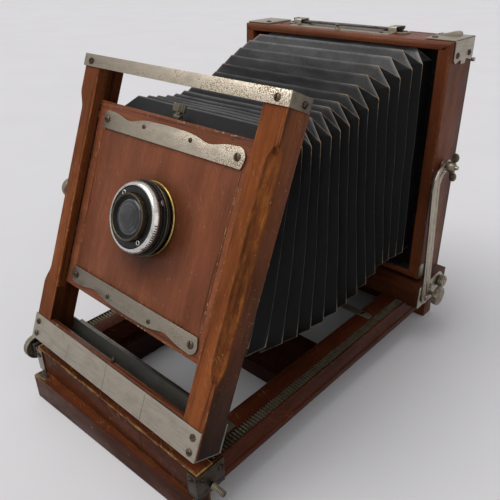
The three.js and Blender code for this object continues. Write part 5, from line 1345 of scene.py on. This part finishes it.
    def strut(self, side, sign):
        """Flat strap bent back at its head, with two raised beads along its outer face."""
        form = Form().metal(from_cad(f"strut_{side}"), "z", 0.72)
        head_y, bend_z, bend = 17, 112.5, 19.5
        place = Matrix.Translation((sign * 122.8, 2, 8)) @ Matrix.Rotation(-sign * math.radians(2.35), 4, "Y")
        turns = [math.radians(d) for d in range(0, 181, 30)]
        for across in (-3.2, 3.2):
            lean = head_y - bend
            path = [(across, 4), (across + lean * 0.5, bend_z * 0.5), (lean + across, bend_z)]
            path = [Vector(p) for p in path + arc(head_y, bend_z, bend - across * 0.85, 180, 116, 10)[1:]]
            rings = []
            for i, (y, z) in enumerate(path):
                way = (path[min(i + 1, len(path) - 1)] - path[max(i - 1, 0)]).normalized()
                half = 0.9 * min(1, (i + 0.4) * 0.8, (len(path) - 0.6 - i) * 0.8)
                bead = [(sign * (0.55 + 0.62 * max(math.sin(a), 0)), y + way.y * half * math.cos(a),
                         z - way.x * half * math.cos(a)) for a in turns]
                rings.append(bead + [(sign * 0.3, y, z)])
            form.add(moved(loft(rings), place), 0, "z")
        form.make(f"strut_{side}_nickel", "bright_nickel")


@register_operator
class CAMERA_OT_spring_back(bpy.types.Operator):
    """Back frame with the sprung ground glass screen"""
    bl_idname = "view_camera.spring_back"
    bl_label = "Spring Back"

    def execute(self, context):
        y0, y1 = 44.3, 57.3
        section = [(0.5, y0), (0, y0 + 0.5), (0, y1 - 1.5), (1.5, y1), (29.4, y1), (30, y1 - 0.6), (30, y0)]
        form = Form().mitred(section, 105, 103.5)
        for sign in (-1, 1):
            low, high = sorted((FRAME_MIDDLE + sign * 59, FRAME_MIDDLE + sign * 74))
            form.wood(block(-75.2, 75.2, y0 + 1, y1 - 0.4, low, high), "x", 0.5)
        for _, sign in SIDES:
            for radius, end, sides in ((1.8, 113.4, 20), (3, 106.5, 24)):
                pin = disc(y0 + 6, FRAME_MIDDLE + 92, radius, sides)
                form.metal(slab("x", pin, *span(sign, 102, end)), "x", 1.6, 1)
        form.make("back_frame_timber", "mahogany nickel", angle=40)
        f0, f1 = y1 + 0.3, y1 + 9.3
        section = [(0.5, f0), (0, f0 + 0.5), (0, f1 - 0.8), (0.8, f1), (8.6, f1), (9, f1 - 0.4), (9, f0 + 3.6),
                   (13, f0 + 3.6), (13, f0)]
        Form().mitred(section, 92, 69).make("glass_frame_timber", "mahogany", angle=40)
        glass = block(-82.7, 82.7, f0 + 3.9, f0 + 5.9, FRAME_MIDDLE - 59.7, FRAME_MIDDLE + 59.7)
        Form().metal(glass, "x", 0.6).make("ground_glass_plate", "ground_glass")
        for side, _ in SIDES:
            dress(f"back_spring_{side}_steel", "steel", "x", 0.6, plate=True)
        return DONE


# ------------------------------------------------------------ stage
@register_operator
class CAMERA_OT_stage(bpy.types.Operator):
    """Pale table, soft lamps and the camera that looks at the object"""
    bl_idname = "view_camera.stage"
    bl_label = "Stage"

    def execute(self, context):
        scene = context.scene
        scene.view_settings.view_transform = "Standard"
        floor_mesh = bpy.data.meshes.new("table")
        half = scene.view_camera_sizes.table
        corners = [(x, y, -0.0002) for x, y in oblong(-half, half, -half, half)]
        floor_mesh.from_pydata(corners, [], [(0, 1, 2, 3)])
        floor = bpy.data.objects.new("table", floor_mesh)
        scene.collection.objects.link(floor)
        # pale paper to the eye; the light that it throws back up is that of a darker table
        paper, add = blank("table_paper", Roughness=0.8, Specular_IOR_Level=0.1)
        grain = add("TexNoise", None, 60.0, 3.0)
        pale = add("Mix", add("MapRange", grain, 0.3, 0.7), linear("table"), linear("#dddbdc"))
        shown = add("Mix", self.seen(add), linear("#8a8280"), pale)
        floor_mesh.materials.append(covered(paper, add, shown))

        world = bpy.data.worlds.new("studio")
        scene.world = world
        world.use_nodes = True
        world.node_tree.nodes.clear()
        add = partial(node, world.node_tree)
        backdrop, fill = add("Background", linear("#d8d6d7"), 1.0), add("Background", linear("#f4f5f8"), 0.5)
        surface = world.node_tree.nodes.new("ShaderNodeOutputWorld").inputs["Surface"]
        world.node_tree.links.new(add("MixShader", self.seen(add), fill, backdrop), surface)

        # a broad soft window from the upper left and a weak one from the right
        lamps = (("window", (-0.3, -0.42, 0.86), 50, 1.75), ("fill", (0.85, -0.35, 0.4), 70, 0.35))
        for name, way, spread, strength in lamps:
            data = bpy.data.lights.new(name, "SUN")
            data.angle = math.radians(spread)
            data.energy = strength
            lamp = bpy.data.objects.new(name, data)
            lamp.rotation_euler = Vector(way).to_track_quat("Z", "Y").to_euler()
            scene.collection.objects.link(lamp)

        data = bpy.data.cameras.new("view")
        data.lens = 40.617
        data.sensor_width = 36.0
        data.clip_start = 0.01
        azimuth, elevation, roll = (math.radians(a) for a in (43.095, 28.529, -1.049))
        back = Vector((math.sin(azimuth) * math.cos(elevation), -math.cos(azimuth) * math.cos(elevation),
                       math.sin(elevation)))
        right = (-back).cross(Vector((0, 0, 1))).normalized()
        up = right.cross(-back).normalized()
        right, up = right * math.cos(roll) + up * math.sin(roll), up * math.cos(roll) - right * math.sin(roll)
        view = bpy.data.objects.new("view", data)
        turn = Matrix((right, up, back)).transposed().to_4x4()
        view.matrix_world = Matrix.Translation((0.3170, -0.3434, 0.3698)) @ turn
        scene.collection.objects.link(view)
        scene.camera = view
        return DONE

    def seen(self, add):
        """1 for the rays that show the background: from the camera, in a reflection or through glass."""
        camera, glossy, through = [add("LightPath", out=i) for i in (0, 3, 6)]
        return add("Math", add("Math", camera, through, operation="MAXIMUM"), glossy, operation="MAXIMUM")


# ------------------------------------------------------------ add-on
def length(name, about, default):
    """A size property; default is in millimetres."""
    return bpy.props.FloatProperty(name=name, description=about, default=default * MM, min=0.0, precision=5,
                                   unit="LENGTH", subtype="DISTANCE")


def tint(name, about, default):
    return bpy.props.FloatVectorProperty(name=name, description=about, default=linear(default)[:3], min=0.0,
                                         max=1.0, subtype="COLOR")


class CAMERA_PG_sizes(bpy.types.PropertyGroup):
    """Sizes that a user may change before building"""
    screw_radius: length("Screw Head Radius", "Radius of the largest screw heads", 2.7)
    screw_height: length("Screw Head Height", "How far the screw heads stand up", 1.2)
    knurl_depth: length("Knurling Depth", "Depth of the knurling on the knobs", 0.35)
    arris: length("Timber Arris", "Rounding of the edges of the timber", 0.8)
    plate_edge: length("Plate Edge", "Rounding of the edges of the metal plates", 0.25)
    cloth: length("Cloth Thickness", "Thickness of the bellows cloth", 0.9)
    looseness: length("Cloth Looseness", "How far the cloth strays between its folds", 0.55)
    table: length("Table Size", "Half the side of the table", 6000)


class CAMERA_PG_colours(bpy.types.PropertyGroup):
    """Colours that a user may change before building"""
    frame_timber: tint("Frame Timber", "Shellacked mahogany of the frames and rails", "#84492c")
    front_timber: tint("Front Timber", "Rubbed mahogany of the front standard", "#8c4f2b")
    board_timber: tint("Board Timber", "Mahogany of the lens board and the rising panel", "#874e33")
    nickel_plate: tint("Nickel Plate", "Straps, wraps and corner plates", "#aaa294")
    leathercloth: tint("Leathercloth", "Black cloth of the bellows", "#08080a")
    enamel: tint("Enamel", "Japanned shutter drum", "#151517")
    table: tint("Table", "Paper under the object", "#dad8d9")


class CAMERA_PT_builder(bpy.types.Panel):
    """Buttons that build each group of pieces"""
    bl_idname = "CAMERA_PT_builder"
    bl_label = "View Camera"
    bl_space_type = "VIEW_3D"
    bl_region_type = "UI"
    bl_category = "View Camera"

    def draw(self, context):
        for group in (context.scene.view_camera_sizes, context.scene.view_camera_colours):
            for name in group.__annotations__:
                self.layout.prop(group, name)
        for operator in OPERATORS:
            self.layout.operator(operator.bl_idname)


CLASSES = [CAMERA_PG_sizes, CAMERA_PG_colours] + OPERATORS + [CAMERA_PT_builder]


def register():
    for cls in CLASSES:
        bpy.utils.register_class(cls)
    bpy.types.Scene.view_camera_sizes = bpy.props.PointerProperty(type=CAMERA_PG_sizes)
    bpy.types.Scene.view_camera_colours = bpy.props.PointerProperty(type=CAMERA_PG_colours)


def unregister():
    del bpy.types.Scene.view_camera_sizes, bpy.types.Scene.view_camera_colours
    for cls in reversed(CLASSES):
        bpy.utils.unregister_class(cls)


def main():
    register()
    for operator in OPERATORS:
        group, name = operator.bl_idname.split(".")
        getattr(getattr(bpy.ops, group), name)()
    bpy.context.view_layer.update()
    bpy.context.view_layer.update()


if __name__ == "__main__":
    main()
